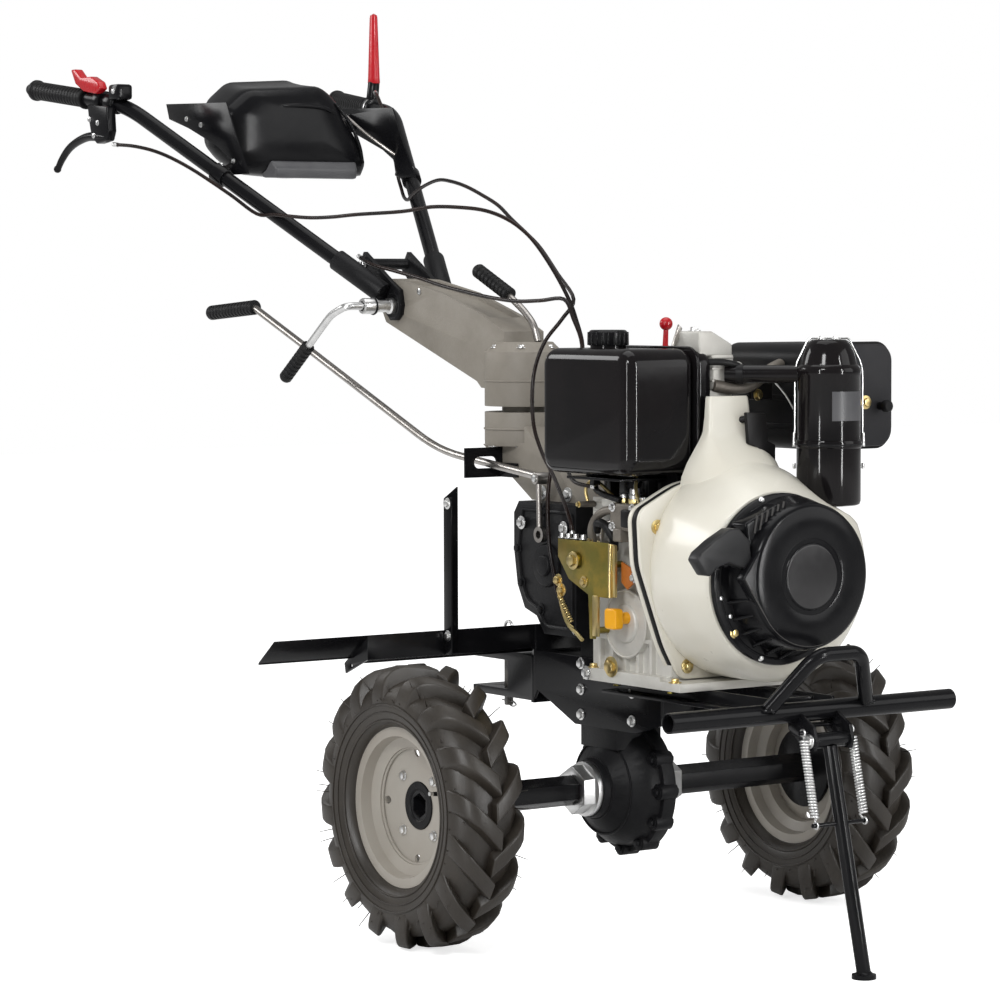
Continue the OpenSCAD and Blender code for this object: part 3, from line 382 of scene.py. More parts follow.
class Form:
    """A piece that is put together from shapes, each with its finish."""

    def __init__(self):
        self.bm, self.finishes = bmesh.new(), []

    def add(self, finish, *shapes, both=False):
        """Adds shapes, on both sides of the machine if asked."""
        if finish not in self.finishes:
            self.finishes.append(finish)
        for shape in shapes:
            for face in shape.faces:
                face.material_index = self.finishes.index(finish)
            mesh = bpy.data.meshes.new("shape")
            shape.to_mesh(mesh)
            self.bm.from_mesh(mesh)
            if both:
                bmesh.ops.scale(shape, vec=(1, -1, 1), verts=shape.verts)
                bmesh.ops.reverse_faces(shape, faces=shape.faces)
                shape.to_mesh(mesh)
                self.bm.from_mesh(mesh)
            shape.free()
            bpy.data.meshes.remove(mesh)
        return self

    def bolt(self, finish, place, direction, r, height, washer=1.7):
        """A hexagon head on its washer."""
        place, direction = Vector(place), Vector(direction).normalized()
        if washer:
            self.add(finish, bar(place, place + direction * r * 0.25, r * washer, sides=24, round=r * 0.06))
        head = bar(place + direction * r * 0.2, place + direction * (r * 0.2 + height), r * 1.12, sides=6,
                   round=r * 0.12)
        self.add(finish, head)

    def done(self, name, body, *nodes, slot=None, sharp=34, mirror=False):
        bm = self.bm
        if mirror:
            bmesh.ops.scale(bm, vec=(1, -1, 1), verts=bm.verts)
            bmesh.ops.reverse_faces(bm, faces=bm.faces)
        bmesh.ops.translate(bm, vec=AXLE, verts=bm.verts)
        bmesh.ops.scale(bm, vec=(0.001, 0.001, 0.001), verts=bm.verts)
        for face in bm.faces:
            face.smooth = True
        for edge in bm.edges:
            edge.smooth = not (edge.is_manifold and edge.calc_face_angle(0) > math.radians(sharp))
        mesh = bpy.data.meshes.new(name)
        bm.to_mesh(mesh)
        bm.free()
        for finish in self.finishes:
            mesh.materials.append(finish)
        piece = bpy.data.objects.new(name, mesh)
        bpy.context.scene.collection.objects.link(piece)
        if body:
            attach(piece, body)
        if nodes:
            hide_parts(*nodes)
        return piece


def make(name, body, node, slot, fill, **how):
    """A piece whose shapes a function adds to an empty form."""
    form = Form()
    fill(form)
    form.done(name, body, node, slot=slot, **how)


def carry(node, body, finish, round, slot, extra=None):
    """A solid of the frame with rounded edges, its finish and its details."""
    form = Form().add(finish, node_shape(node, round))
    if extra:
        extra(form)
    form.done(node + "_skin", body, node, slot=slot)


def soft_box(x, y, z, r, axis, edge, steps):
    """A box with round corners of radius r seen along an axis, and softer ends."""
    names = "xyz".replace(axis, "")
    spans = {"x": x, "y": y, "z": z}
    (a0, a1), (b0, b1), (low, high) = spans[names[0]], spans[names[1]], spans[axis]
    outline = []
    corners = ((a1 - r, b1 - r, 0), (a0 + r, b1 - r, 90), (a0 + r, b0 + r, 180), (a1 - r, b0 + r, 270))
    for ca, cb, start in corners:
        for k in range(steps + 1):
            t = math.radians(start + 90 * k / steps)
            outline.append((ca + r * math.cos(t), cb + r * math.sin(t)))
    if axis == "y":
        outline = outline[::-1]
    bm = prism(outline, low, high, axis)
    ends = [e for e in bm.edges if e.calc_face_angle(0) > 1.2]
    bmesh.ops.bevel(bm, geom=ends, offset=edge, segments=4, profile=0.5, affect="EDGES", material=-1)
    return bm


def coil(a, b, r, wire, turns, hook):
    """A helix from a to b, with a straight hook at each end."""
    a, b = Vector(a), Vector(b)
    line = (b - a).normalized()
    side = line.orthogonal().normalized()
    other = line.cross(side)
    low, high = a + line * hook, b - line * hook
    path = [a]
    steps = int(turns * 14)
    for k in range(steps + 1):
        t = math.tau * turns * k / steps
        path.append(low + (high - low) * (k / steps) + (side * math.cos(t) + other * math.sin(t)) * r)
    return tube(path + [b], wire, 8)


def skin_patch(centre, r, low, high, start, end):
    """A curved plate on an upright cylinder, between two angles in degrees."""
    bm = bmesh.new()
    outer = r + 0.8
    verts = [bm.verts.new((q, 0, z)) for q, z in ((r, low), (outer, low), (outer, high), (r, high))]
    face = bm.faces.new(verts)
    bmesh.ops.rotate(bm, cent=(0, 0, 0), matrix=Matrix.Rotation(math.radians(start), 3, "Z"), verts=bm.verts)
    bmesh.ops.spin(bm, geom=[face], cent=(0, 0, 0), axis=(0, 0, 1), dvec=(0, 0, 0),
                   angle=math.radians(end - start), steps=16)
    bmesh.ops.recalc_face_normals(bm, faces=bm.faces)
    bmesh.ops.translate(bm, vec=centre, verts=bm.verts)
    return bm


def wrapped(points, round):
    """The tight skin round a set of points."""
    bm = bmesh.new()
    for p in points:
        bm.verts.new(p)
    made = bmesh.ops.convex_hull(bm, input=bm.verts)
    bmesh.ops.delete(bm, geom=list(set(made["geom_interior"] + made["geom_unused"])), context="VERTS")
    bmesh.ops.dissolve_limit(bm, angle_limit=math.radians(2), verts=bm.verts, edges=bm.edges)
    bmesh.ops.recalc_face_normals(bm, faces=bm.faces)
    return soften(bm, round, 3)


# Camera and light

FOCAL_PX, PICTURE_PX, SENSOR_MM = 3601, 1000, 36


def set_camera():
    place = Vector((4.3149 + 0.3575, -3.2233, 0.9512))
    turn, climb, roll = math.radians(145.16), math.radians(-3.348), math.radians(-0.17)
    look = Vector((math.cos(climb) * math.cos(turn), math.cos(climb) * math.sin(turn), math.sin(climb)))
    right = Vector((math.sin(turn), -math.cos(turn), 0))
    up = right.cross(look)
    right, up = (right * math.cos(roll) + up * math.sin(roll), up * math.cos(roll) - right * math.sin(roll))
    data = bpy.data.cameras.new("camera")
    data.sensor_width, data.lens, data.clip_end = SENSOR_MM, FOCAL_PX * SENSOR_MM / PICTURE_PX, 60
    camera = bpy.data.objects.new("camera", data)
    axes = Matrix((right, up, -look)).transposed().to_4x4()
    camera.matrix_world = Matrix.Translation(place) @ axes
    bpy.context.scene.collection.objects.link(camera)
    bpy.context.scene.camera = camera


def add_lamp(name, spot, target, power, size, height=None):
    """A square lamp, or an upright strip if it has a height, that faces a target."""
    data = bpy.data.lights.new(name, "AREA")
    data.shape, data.size, data.energy = "SQUARE", size, power
    if height:
        data.shape, data.size_y = "RECTANGLE", height
    lamp = bpy.data.objects.new(name, data)
    turn = (Vector(spot) - Vector(target)).to_track_quat("Z", "Y").to_matrix().to_4x4()
    lamp.matrix_world = Matrix.Translation(spot) @ turn
    bpy.context.scene.collection.objects.link(lamp)
    return lamp


def set_light():
    scene = bpy.context.scene
    scene.view_settings.view_transform = "Standard"
    world = bpy.data.worlds.new("studio")
    scene.world = world
    world.use_nodes = True
    tree = world.node_tree
    shade = tree.nodes["Background"]
    ray = tree.nodes.new("ShaderNodeLightPath")
    bright = Wire(tree, ray.outputs["Is Camera Ray"]) * 0.45 + 0.55
    plug(tree, shade.inputs["Strength"], bright - Wire(tree, ray.outputs["Is Glossy Ray"]) * 0.25)
    shade.inputs["Color"].default_value = (1, 1, 1, 1)
    lamps = (("key", (2.6, -3.6, 3.4), 1.0, 95), ("fill", (3.8, 2.6, 2.2), 2.6, 45),
             ("top", (0.0, 0.0, 4.2), 3.0, 55), ("rear", (-3.4, -2.4, 2.6), 1.4, 45))
    for name, spot, size, power in lamps:
        add_lamp(name, spot, (0, 0, 0.6), power, size)
    for name, spot in (("left_strip", (1.6, -2.9, 1.2)), ("right_strip", (3.1, 0.5, 1.2))):
        strip = add_lamp(name, spot, (0.3, 0, 1.2), 48, 0.09, 2.3)
        strip.visible_diffuse = False
        strip.visible_camera = False


def set_floor():
    bm = bmesh.new()
    bmesh.ops.create_grid(bm, x_segments=1, y_segments=1, size=14)
    mesh = bpy.data.meshes.new("floor")
    bm.to_mesh(mesh)
    bm.free()
    floor = bpy.data.objects.new("floor", mesh)
    bpy.context.scene.collection.objects.link(floor)
    f = Finish("studio_floor", Roughness=0.9, Base_Color=(0.86, 0.86, 0.86))
    ray = f.tree.nodes.new("ShaderNodeLightPath")
    f.set(Emission_Color=(1, 1, 1), Emission_Strength=Wire(f.tree, ray.outputs["Is Camera Ray"]) * 0.7)
    mesh.materials.append(f.material)


set_camera()
set_light()
set_floor()


# Wheels

# From the machine's middle to the middle of a tyre
TRACK = 362

# How far a tread bar slants either way round the tyre, and how wide it is
BAR_LEAN, BAR_WIDTH = 28.9, 32.8

# Each station of a tread bar: y and radius of its crown, then y and radius of its root
BAR_STATIONS = ((-6, 205.2, -4, 183), (12, 205.6, 12, 183), (30, 205.2, 30, 180), (39, 202, 38, 175),
                (46, 197, 42, 171), (51.5, 188.5, 46, 165), (54.6, 178, 49, 159), (55.7, 165, 50, 154),
                (55.2, 152.5, 49, 149))


def tyre_shape(form):
    """Carcass with rounded chevron bars that run down over the shoulders."""
    half = [(105, -33), (118, -37), (121, -46), (132, -51.5), (145, -54.5), (157, -54.5), (166, -51),
            (174, -46), (182, -37), (187, -28), (188, 0)]
    outer = half + [(r, -y) for r, y in half[-2::-1]]
    form.add(RUBBER, lathe(outer + [(103.4, 20), (103.4, -20)], (0, TRACK, 0), LEFT, 120, ring=True))
    for ring, y, width in ((127, 49.6, 1.8), (139, 53.6, 1.0), (150, 55.0, 1.4)):
        for side in (-1, 1):
            form.add(RUBBER, hoop((0, TRACK + side * y, 0), ring, "y", width, 96))
    bars = 16
    for side in (-1, 1):
        for k in range(bars):
            form.add(RUBBER, tread_bar(side, (k + (0 if side > 0 else 0.5)) * math.tau / bars))
    rnd = random.Random(7)
    for side in (-1, 1):
        for k in range(64):
            a = k * math.tau / 64 + rnd.uniform(-0.03, 0.03)
            r, y = rnd.choice(((150, 52), (158, 44), (166, 38)))
            root = Vector((r * math.cos(a), TRACK + side * y, r * math.sin(a)))
            away = Vector((math.cos(a) * 0.86, side * 0.5, math.sin(a) * 0.86))
            tip = root + away * (rnd.uniform(8, 12) + (r - 150) * 1.6)
            if tip.z > -190:
                form.add(RUBBER, bar(root, tip, 0.9, 0.5, 6))


def tread_bar(side, start):
    """One bar of the tread: from the middle of the tyre, slanting back to the shoulder."""
    bm = bmesh.new()
    bmesh.ops.create_cube(bm, size=1)
    cos, sin = math.cos(start), math.sin(start)
    along = [e for e in bm.edges if abs((e.verts[0].co - e.verts[1].co).x) > 0.5]
    bmesh.ops.subdivide_edges(bm, edges=along, cuts=len(BAR_STATIONS) - 2, use_grid_fill=True)
    for v in bm.verts:
        u, w, crown = v.co.x + 0.5, v.co.y, v.co.z > 0
        station = BAR_STATIONS[round(u * (len(BAR_STATIONS) - 1))]
        y, r = station[:2] if crown else station[2:]
        lean = BAR_LEAN - 2 * BAR_LEAN * (station[0] + 6) / 62
        x = lean + w * BAR_WIDTH * (0.86 if crown else 1.12)
        z = math.sqrt(r * r - x * x)
        v.co = (x * cos + z * sin, TRACK + side * y, z * cos - x * sin)
    bmesh.ops.recalc_face_normals(bm, faces=bm.faces)
    return soften(bm, 3.2, 3, 35)


def add_rim_details(form):
    """Rolled edges, weld bead, bright bolts and the valve on the pressed rim."""
    for y in (-35.2, 35.2):
        form.add(RIM, hoop((0, TRACK + y, 0), 116, "y", 1.5, 96))
    form.add(RIM, hoop((0, TRACK + 9.6, 0), 84.4, "y", 2.2))
    for k in range(4):
        a = math.radians(45 + 90 * k)
        spot = Vector((56 * math.sin(a), TRACK + 2, 56 * math.cos(a)))
        form.bolt(ZINC, spot, LEFT, 5.6, 4.5, 1.3)
    stem = Vector((74, TRACK + 8, 26))
    form.add(GRIP, bar(stem, stem + Vector((3, 22, 2)), 4, 3, 20, 0.5))
    form.add(ZINC, bar(stem + Vector((3, 22, 2)), stem + Vector((3.6, 28, 2.4)), 2.8, sides=16))


for side, mirror in (("left", False), ("right", True)):
    make("tread_" + side, "wheels", "tyre_" + side, "tyre", tyre_shape, mirror=mirror, sharp=50)
    disc = Form().add(RIM, node_shape("rim_left"))
    add_rim_details(disc)
    disc.done("wheel_disc_" + side, "wheels", "rim_" + side, slot="rim_paint", mirror=mirror)
    hub = Form().add(BLACK, node_shape("hub_left", 1.0))
    lip = [(36, 353), (36, 363), (34, 366), (24, 366), (22, 364.5)]
    hub.add(CAST_BLACK, lathe(lip, (0, 0, 0), LEFT, 48))
    hub.done("sleeve_" + side, "wheels", "hub_" + side, slot="black_paint", mirror=mirror)
carry("axle_shaft", "wheels", OILED, 0.8, "dark_steel")
carry("axle_nuts", "chassis", ZINC, 1.8, "bright_steel")


# Gear case, frame and hitch

# The hitch pin's axis
PIN_X = -293


def add_case_bolts(form):
    for a in range(60, 301, 30):
        t = math.radians(a)
        spot = Vector((94 * math.sin(t), 0, 94 * math.cos(t)))
        form.bolt(CAST_BLACK, spot + Vector((0, -2, 0)), RIGHT, 5.5, 5)
        form.bolt(CAST_BLACK, spot + Vector((0, 28, 0)), LEFT, 5.5, 5)
    for y, r in ((-34.4, 71), (-50.6, 46)):
        form.add(CAST_BLACK, hoop((0, y, 0), r, "y", 1.6))


def add_frame_bolts(form):
    for x, z in ((-36, 184), (-36, 145), (-36, 107), (91, 151), (91, 109)):
        form.bolt(ZINC, (x, -47, z), RIGHT, 5.8, 4.5, 1.5)
        form.bolt(ZINC, (x, 47, z), LEFT, 5.8, 4.5, 1.5)
    for side in (-1, 1):
        for x in (80, 210):
            form.bolt(GOLD, (x, side * 66, 168), DOWN, 6, 5)


def add_hitch_details(form):
    weld = rounded([(-166, -33, 120), (-166, -33, 178)], 1)
    form.add(BLACK, tube(weld, 2.4, 8), both=True)
    form.add(BLACK, lathe([(8, 0), (15, 0), (16, 1.2), (15, 2.4), (8, 2.4)], (PIN_X, 0, 184), UP, 32, True))


def pin_shape(form):
    form.add(OILED, bar((PIN_X, 0, 94.5), (PIN_X, 0, 206), 7, sides=32, round=1.2))
    form.add(OILED, bar((PIN_X, 0, 186.6), (PIN_X, 0, 191), 11, sides=32, round=0.8))
    form.add(ZINC, hoop((PIN_X, 0, 216), 10, "y", 2.4, 40, sides=10))
    clip = rounded([(-311, 0, 101), (-280, 0, 101), (-272, 0, 96), (-282, 0, 92), (-304, 0, 99)], 6)
    form.add(ZINC, tube(clip, 1.4, 8))


carry("gear_case", "chassis", CAST_BLACK, 2, "black_casting", add_case_bolts)
carry("frame", "chassis", BLACK, 1.0, "black_paint", add_frame_bolts)
carry("hitch", "chassis", BLACK, 1.6, "black_paint", add_hitch_details)
make("drawbar_pin", "chassis", "hitch_pin", "dark_steel", pin_shape)


# Gearbox, column base and fenders

def add_gearbox_details(form):
    for side in (-1, 1):
        form.bolt(ZINC, (-142, side * 81, 392), (0, side, 0), 6, 5)
        form.bolt(ZINC, (-33, side * 81, 389), (0, side, 0), 6, 5)
        for x, z in ((-150, 300), (-100, 262), (-26, 244), (-26, 330), (-160, 352), (-88, 412)):
            form.bolt(CAST_BLACK, (x, side * 75, z), (0, side, 0), 5.5, 4)
        ridge = rounded([(-158, side * 75, 352), (-150, side * 75, 303), (-134, side * 75, 274),
                         (-106, side * 75, 264), (-88, side * 75, 238), (-18, side * 75, 238),
                         (-18, side * 75, 412), (-146, side * 75, 412)], 12)
        form.add(CAST_BLACK, tube(ridge, 3, 8, closed=True))
        form.add(CAST_BLACK, bar((-84, side * 74, 330), (-84, side * 80, 330), 34, 31, 48, 1.5))
        form.add(CAST_BLACK, bar((-84, side * 79, 330), (-84, side * 85, 330), 17, 15, 40, 1.5))
    for k in range(4):
        x = 4 + 11 * k
        form.add(CAST_BLACK, hoop((x, 0, SHAFT_Z), 72.3, "x", 1.6))


def add_base_details(form):
    for a in range(0, 360, 60):
        t = math.radians(a + 20)
        spot = (COLUMN_X + 50 * math.cos(t), 50 * math.sin(t), 504)
        form.bolt(ZINC, spot, DOWN, 6, 5)
    form.add(CAST_GREY, hoop((COLUMN_X, 0, 530), 61, "z", 1.8, 80))
    for x, z in ((-76, 436), (-142, 436)):
        form.bolt(ZINC, (x, -42, z), RIGHT, 6.5, 5)
        form.bolt(ZINC, (x, 42, z), LEFT, 6.5, 5)


def add_fender_details(form, side):
    for y in (24, 330):
        form.bolt(ZINC, (-163.4, side * y, 212), (-1, 0, 0), 5.5, 4)
    form.add(BLACK, tube(rounded([(-223.4, side * 6, 186.5), (-223.4, side * 346, 186.5)], 1), 1.6, 8))
    form.add(BLACK, tube(rounded([(-203.6, side * 350, 197.6), (-203.6, side * 508, 197.6)], 1), 1.6, 8))


def add_post_details(form):
    form.bolt(ZINC, (-150, -211, 226), RIGHT, 5, 4)
    form.bolt(ZINC, (-150, -211, 425), RIGHT, 5, 4)


carry("gearbox", "chassis", CAST_BLACK, 4, "black_casting", add_gearbox_details)
carry("column_base", "chassis", CAST_GREY, 3, "grey_casting", add_base_details)
carry("fender_left", "chassis", BLACK, 0.8, "black_paint", lambda form: add_fender_details(form, 1))
carry("fender_right", "chassis", BLACK, 0.8, "black_paint", lambda form: add_fender_details(form, -1))
carry("fender_post", "chassis", BLACK, 0.6, "black_paint", add_post_details)


# Bumper and stand

def bumper_shape(form):
    form.add(BLACK, lathe([(12, -255), (14.5, -255), (14.5, 255), (12, 255)], (449, 0, 155), LEFT, 64, True))
    for side in (-1, 1):
        form.add(BLACK, hoop((449, side * 254.6, 155), 13.2, "y", 1.3, 48))
    bow = rounded([(460, 88, 164), (499, 46, 230), (505, 30, 240), (505, -30, 240), (499, -46, 230),
                   (460, -88, 164)], 26, 8)
    form.add(BLACK, tube(bow, 10.5, 28))
    for side in (-1, 1):
        form.add(BLACK, hoop((459, side * 89.5, 163), 11, "z", 2.4, 32))


def add_bracket_details(form):
    for side in (-1, 1):
        form.bolt(ZINC, (484, side * 35, 118), (0, side, 0), 7, 2.6, 1.5)


def stand_shape(form):
    form.add(BLACK, node_shape("stand_leg", 0.6))
    foot = [(10, 10), (13, 7), (17, 6.2), (17.2, 3), (17, 0.4), (0, 0.4)]
    form.add(BLACK, lathe(foot, (560, 0, -206), UP, 48))


make("front_tube", "chassis", "bumper", "black_paint", bumper_shape)
carry("stand_bracket", "chassis", BLACK, 0.8, "black_paint", add_bracket_details)
make("leg", "stand", "stand_leg", "black_paint", stand_shape)
springs = Form()
springs.add(ZINC, coil((480, 44, 130), (509, 44, 4), 5.2, 1.5, 26, 10), both=True)
for spot in ((480, 130), (509, 4)):
    springs.add(ZINC, hoop((spot[0], 44, spot[1]), 4.6, "y", 1.4, 24), both=True)
coils = springs.done("coil_springs", None, "stand_springs", slot="bright_steel", sharp=60)


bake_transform(coils)


# Engine

def crankcase_shape(form):
    form.add(ALLOY, node_shape("crankcase", 2.5))
    for side in (-1, 1):
        for x in (66, 262):
            form.bolt(PALE_GOLD, (x, side * 99, 190 if x < 236 else 184), UP, 5.5, 5)
        form.add(ALLOY, hoop((142, side * 97, 260), 49, "y", 2))
        form.add(ALLOY, bar((142, side * 96, 260), (142, side * 101, 260), 30, 27, 48, 1.5))
        form.bolt(PALE_GOLD, (121, side * 107, 196), (0, side, 0), 9, 6)
        form.bolt(ZINC, (60, side * 107, 182), (0, side, 0), 6, 5)
        for x in (98, 160, 190):
            form.add(ALLOY, block((x - 2, x + 2), (side * 87, side * 92), (300, 430), 1))
        form.add(ALLOY, block((56, 236), (side * 86, side * 91), (330, 335), 1))
    for z in (420, 433):
        form.add(ALLOY, block((56, 238), (-90, 90), (z, z + 4), 1))


def scaled(outline, f):
    """An outline of (y, z) points made larger or smaller round the engine's shaft."""
    return [(y * f, SHAFT_Z + (z - SHAFT_Z) * f) for y, z in outline]


# The flange between the shroud and the crankcase, as (y, z) points
SHROUD_OUTLINE = ((-78, 186), (-105, 234), (-149, 352), (-153, 420), (-146, 434), (-112, 451), (-80, 466),
                  (-20, 478), (60, 478), (120, 462), (156, 430), (168, 343), (150, 260), (110, 200),
                  (84, 186))


def flange_path(f):
    """The shroud's flange outline as (y, z) points with rounded corners."""
    ring = [(0, y, z) for y, z in scaled(SHROUD_OUTLINE, f)]
    half = len(ring) // 2
    path = rounded(ring[half:] + ring[:half + 1], 14, 4)[1:]
    return [(p.y, p.z) for p in path]


# The centre of the starter's flange, which sits a little off the shaft
FLANGE_Y, FLANGE_Z = -13, 337


def shroud_ring(x):
    """One slice of the shroud's body, which closes in on the starter's flange."""
    far = (x - 262) / 125.4
    edge = min(max((x - 338) / 49.4, 0), 1)
    inset = {244: 6, 248: 3, 254: 0.8}.get(x, 0)
    ring = []
    for k in range(96):
        a = math.tau * k / 96
        side = 1 - math.sqrt(max(0, 1 - edge ** 2)) if edge else 0
        top = max(far, 0) ** 1.5
        lift = min(max((math.sin(a) - 0.2) / 0.7, 0), 1)
        lift = lift * lift * (3 - 2 * lift)
        t = max(side, top * lift)
        r = 157 + 21 * math.cos(a) - inset
        wide = Vector((x, r * math.cos(a), SHAFT_Z + r * math.sin(a)))
        tight = Vector((x, FLANGE_Y + 123.5 * math.cos(a), FLANGE_Z + 123.5 * math.sin(a)))
        ring.append(wide.lerp(tight, t))
    return ring


# Each ring of the shroud's neck: z, its front x, its right and left y, and its two corner radii,
# left and right
NECK_RINGS = ((591, 255, -30, 40, 6, 5), (588.5, 257, -31, 41, 7, 6), (562, 259.5, -33, 43, 7, 6),
              (541, 262, -36, 46, 7, 6), (536, 263, -38, 48, 8, 7), (526, 268, -44, 56, 18, 14),
              (512, 278, -54, 70, 28, 24), (496, 292, -65, 84, 42, 38), (478, 306, -74, 90, 54, 50),
              (462, 316, -78, 86, 60, 56), (446, 320, -78, 82, 64, 60), (428, 320, -76, 78, 66, 62))


def shroud_shape(form):
    form.add(SHROUD, prism(flange_path(0.998), 240.6, 247.5, "x", 1.6))
    form.add(GRIP, prism(flange_path(0.992), 228, 240.8, "x", 2))
    form.add(SHROUD, prism(flange_path(0.998), 220, 228.2, "x", 1.6))
    stations = (244, 248, 254, 262, 290, 318, 338, 348, 356, 364, 371, 377, 381.5, 384.5, 386.6, 387.4)
    form.add(SHROUD, loft([shroud_ring(x) for x in stations]))
    rings = []
    for z, x1, y0, y1, r1, r0 in NECK_RINGS:
        ring = []
        for cx, cy, r, start in ((x1 - r1, y1 - r1, r1, 0), (245.6, y1 - 1, 1, 90), (245.6, y0 + 1, 1, 180),
                                 (x1 - r0, y0 + r0, r0, 270)):
            for k in range(9):
                t = math.radians(start + 11.25 * k)
                ring.append((cx + r * math.cos(t), cy + r * math.sin(t), z))
        rings.append(ring)
    form.add(SHROUD, loft(rings))
    for y, z in ((-120, 407), (-66, 205), (-60, 463), (132, 452), (72, 200), (154, 300)):
        form.bolt(PALE_GOLD, (247.5, y, z), FORWARD, 5.6, 5, 1.9)


def starter_shape(form):
    at = (392, 0, SHAFT_Z)
    flange = [(0, -3.4), (121, -3.4), (121.6, -1), (121.6, 3), (120, 5), (104, 7.5), (0, 7.5)]
    form.add(PLASTIC, lathe(flange, (392, FLANGE_Y, FLANGE_Z), FORWARD, 120))
    form.add(PLASTIC, hoop((397.5, FLANGE_Y, FLANGE_Z), 112, "x", 2, 96))
    body = [(0, 4), (112, 4), (111, 9), (107, 26), (104.5, 40), (103, 48), (100.5, 53), (96, 55.4),
            (57, 55.4), (54, 54.2), (52.6, 51.5), (48.4, 51.5), (47, 54.6), (45.6, 55.4), (0, 55.4)]
    form.add(PLASTIC, lathe(body, at, FORWARD, 120))
    form.add(BADGE, lathe([(0, 54), (44.6, 54), (44.6, 55.6), (43, 55.9), (0, 55.9)], at, FORWARD, 96))
    turns = [math.radians(a) for a in range(-142, 143, 4)]
    rim = [(math.cos(t) * 99, SHAFT_Z + math.sin(t) * 99) for t in turns]
    form.add(PLASTIC, prism(rim + [(-122, 345)], 428, 445.6, "x", 3, 3))
    band = [Vector((445.8, y, z)) for y, z in scaled(rim[:17], 0.985)]
    form.add(GREY, tube([Vector((445.8, -118, 344))] + band, 1.0, 8))
    boss = ((-104, 420), (-44, 446), (-30, 430), (-96, 376))
    form.add(PLASTIC, wrapped([(x, y, z) for x in (392, 428) for y, z in boss], 4))
    for k in range(6):
        y, z = -84 + 9.5 * k, 431 + 3.6 * k
        form.add(GREY, bar((429.2, y, z), (429.2, y - 5, z - 24), 1.5, sides=8))
    for a in range(196, 262, 13):
        t = math.radians(a)
        form.add(PLASTIC, bar((398, 116 * math.cos(t), 341 + 116 * math.sin(t)),
                              (430, 103 * math.cos(t), SHAFT_Z + 103 * math.sin(t)), 2.6, sides=10))
    bolts = ((-51, 450, 3, ZINC), (-99, 266, 5, PALE_GOLD), (-124, 316, 3, ZINC), (-52, 228, 3, ZINC),
             (-104, 405, 5, PALE_GOLD), (-108, 290, 3, ZINC), (92, 300, 3, ZINC), (60, 428, 3, ZINC))
    for y, z, r, finish in bolts:
        form.bolt(finish, (396.5, y, z), FORWARD, r, 3.6, 1.5)
    paddle = ((-196, 374), (-190, 384), (-166, 400), (-137, 415), (-122, 415), (-104, 398), (-100, 372),
              (-112, 358), (-140, 368), (-162, 362), (-172, 351), (-180, 352))
    form.add(HANDLE_GREY, prism(paddle, 414, 438, "x", 3, 3))
    form.add(PLASTIC, block((404, 416), (-128, -100), (360, 408), 3))


# The fuel filler's axis
FILLER = (104, -100, 0)


def tank_shape(form):
    form.add(TANK_BLACK, soft_box((24.3, 239.7), (-166, -43), (478.3, 659.7), 26, "y", 18, 10))
    form.add(TANK_BLACK, soft_box((27.3, 236.7), (-42, -10.2), (481.3, 656.7), 24, "y", 11, 10))
    form.add(TANK_BLACK, soft_box((21.2, 242.8), (-44, -39.2), (475.2, 662.8), 26, "y", 1.4, 10))
    form.add(TANK_BLACK, lathe([(26, 656), (26, 663.5), (24, 664.6), (12, 664.6)], FILLER, UP, 56))


def cap_shape(form):
    cap = [(0, 663.4), (28, 663.4), (28.6, 665), (28.6, 682), (26.5, 685), (24, 686), (10, 685.4),
           (0, 685.4)]
    form.add(PLASTIC, lathe(cap, FILLER, UP, 72))
    for k in range(20):
        t = math.tau * k / 20
        x, y = FILLER[0] + 28.4 * math.cos(t), FILLER[1] + 28.4 * math.sin(t)
        form.add(PLASTIC, bar((x, y, 664), (x, y, 683), 2, 1.7, 10, 0.4))


def muffler_shape(form):
    form.add(HEAT_BLACK, soft_box((84.2, 274), (127.4, 294.8), (510, 665), 26, "x", 8, 10))
    form.add(FACE_BLACK, soft_box((268, 279.8), (130, 292), (513, 663), 25, "x", 3, 10))
    form.add(HEAT_BLACK, soft_box((267, 271.5), (127, 296), (509, 667), 28, "x", 1.2, 10))
    form.bolt(PALE_GOLD, (279.8, 240, 578), FORWARD, 6, 5)
    knob = [(0, 0), (6, 0), (6, 12), (9, 13), (9, 20), (7, 22), (0, 22)]
    form.add(GRIP, lathe(knob, (279, 268, 572), FORWARD, 24))
    form.bolt(PALE_GOLD, (255, 172, 664), UP, 5, 6)
    for z in (540, 582, 624):
        form.add(HEAT_BLACK, block((100, 258), (126, 128.5), (z, z + 8), 1.2))
        form.add(HEAT_BLACK, block((100, 258), (293.5, 296), (z, z + 8), 1.2))
    form.add(HEAT_BLACK, tube(rounded([(110, 296, 540), (110, 302, 540)], 2), 14, 24))


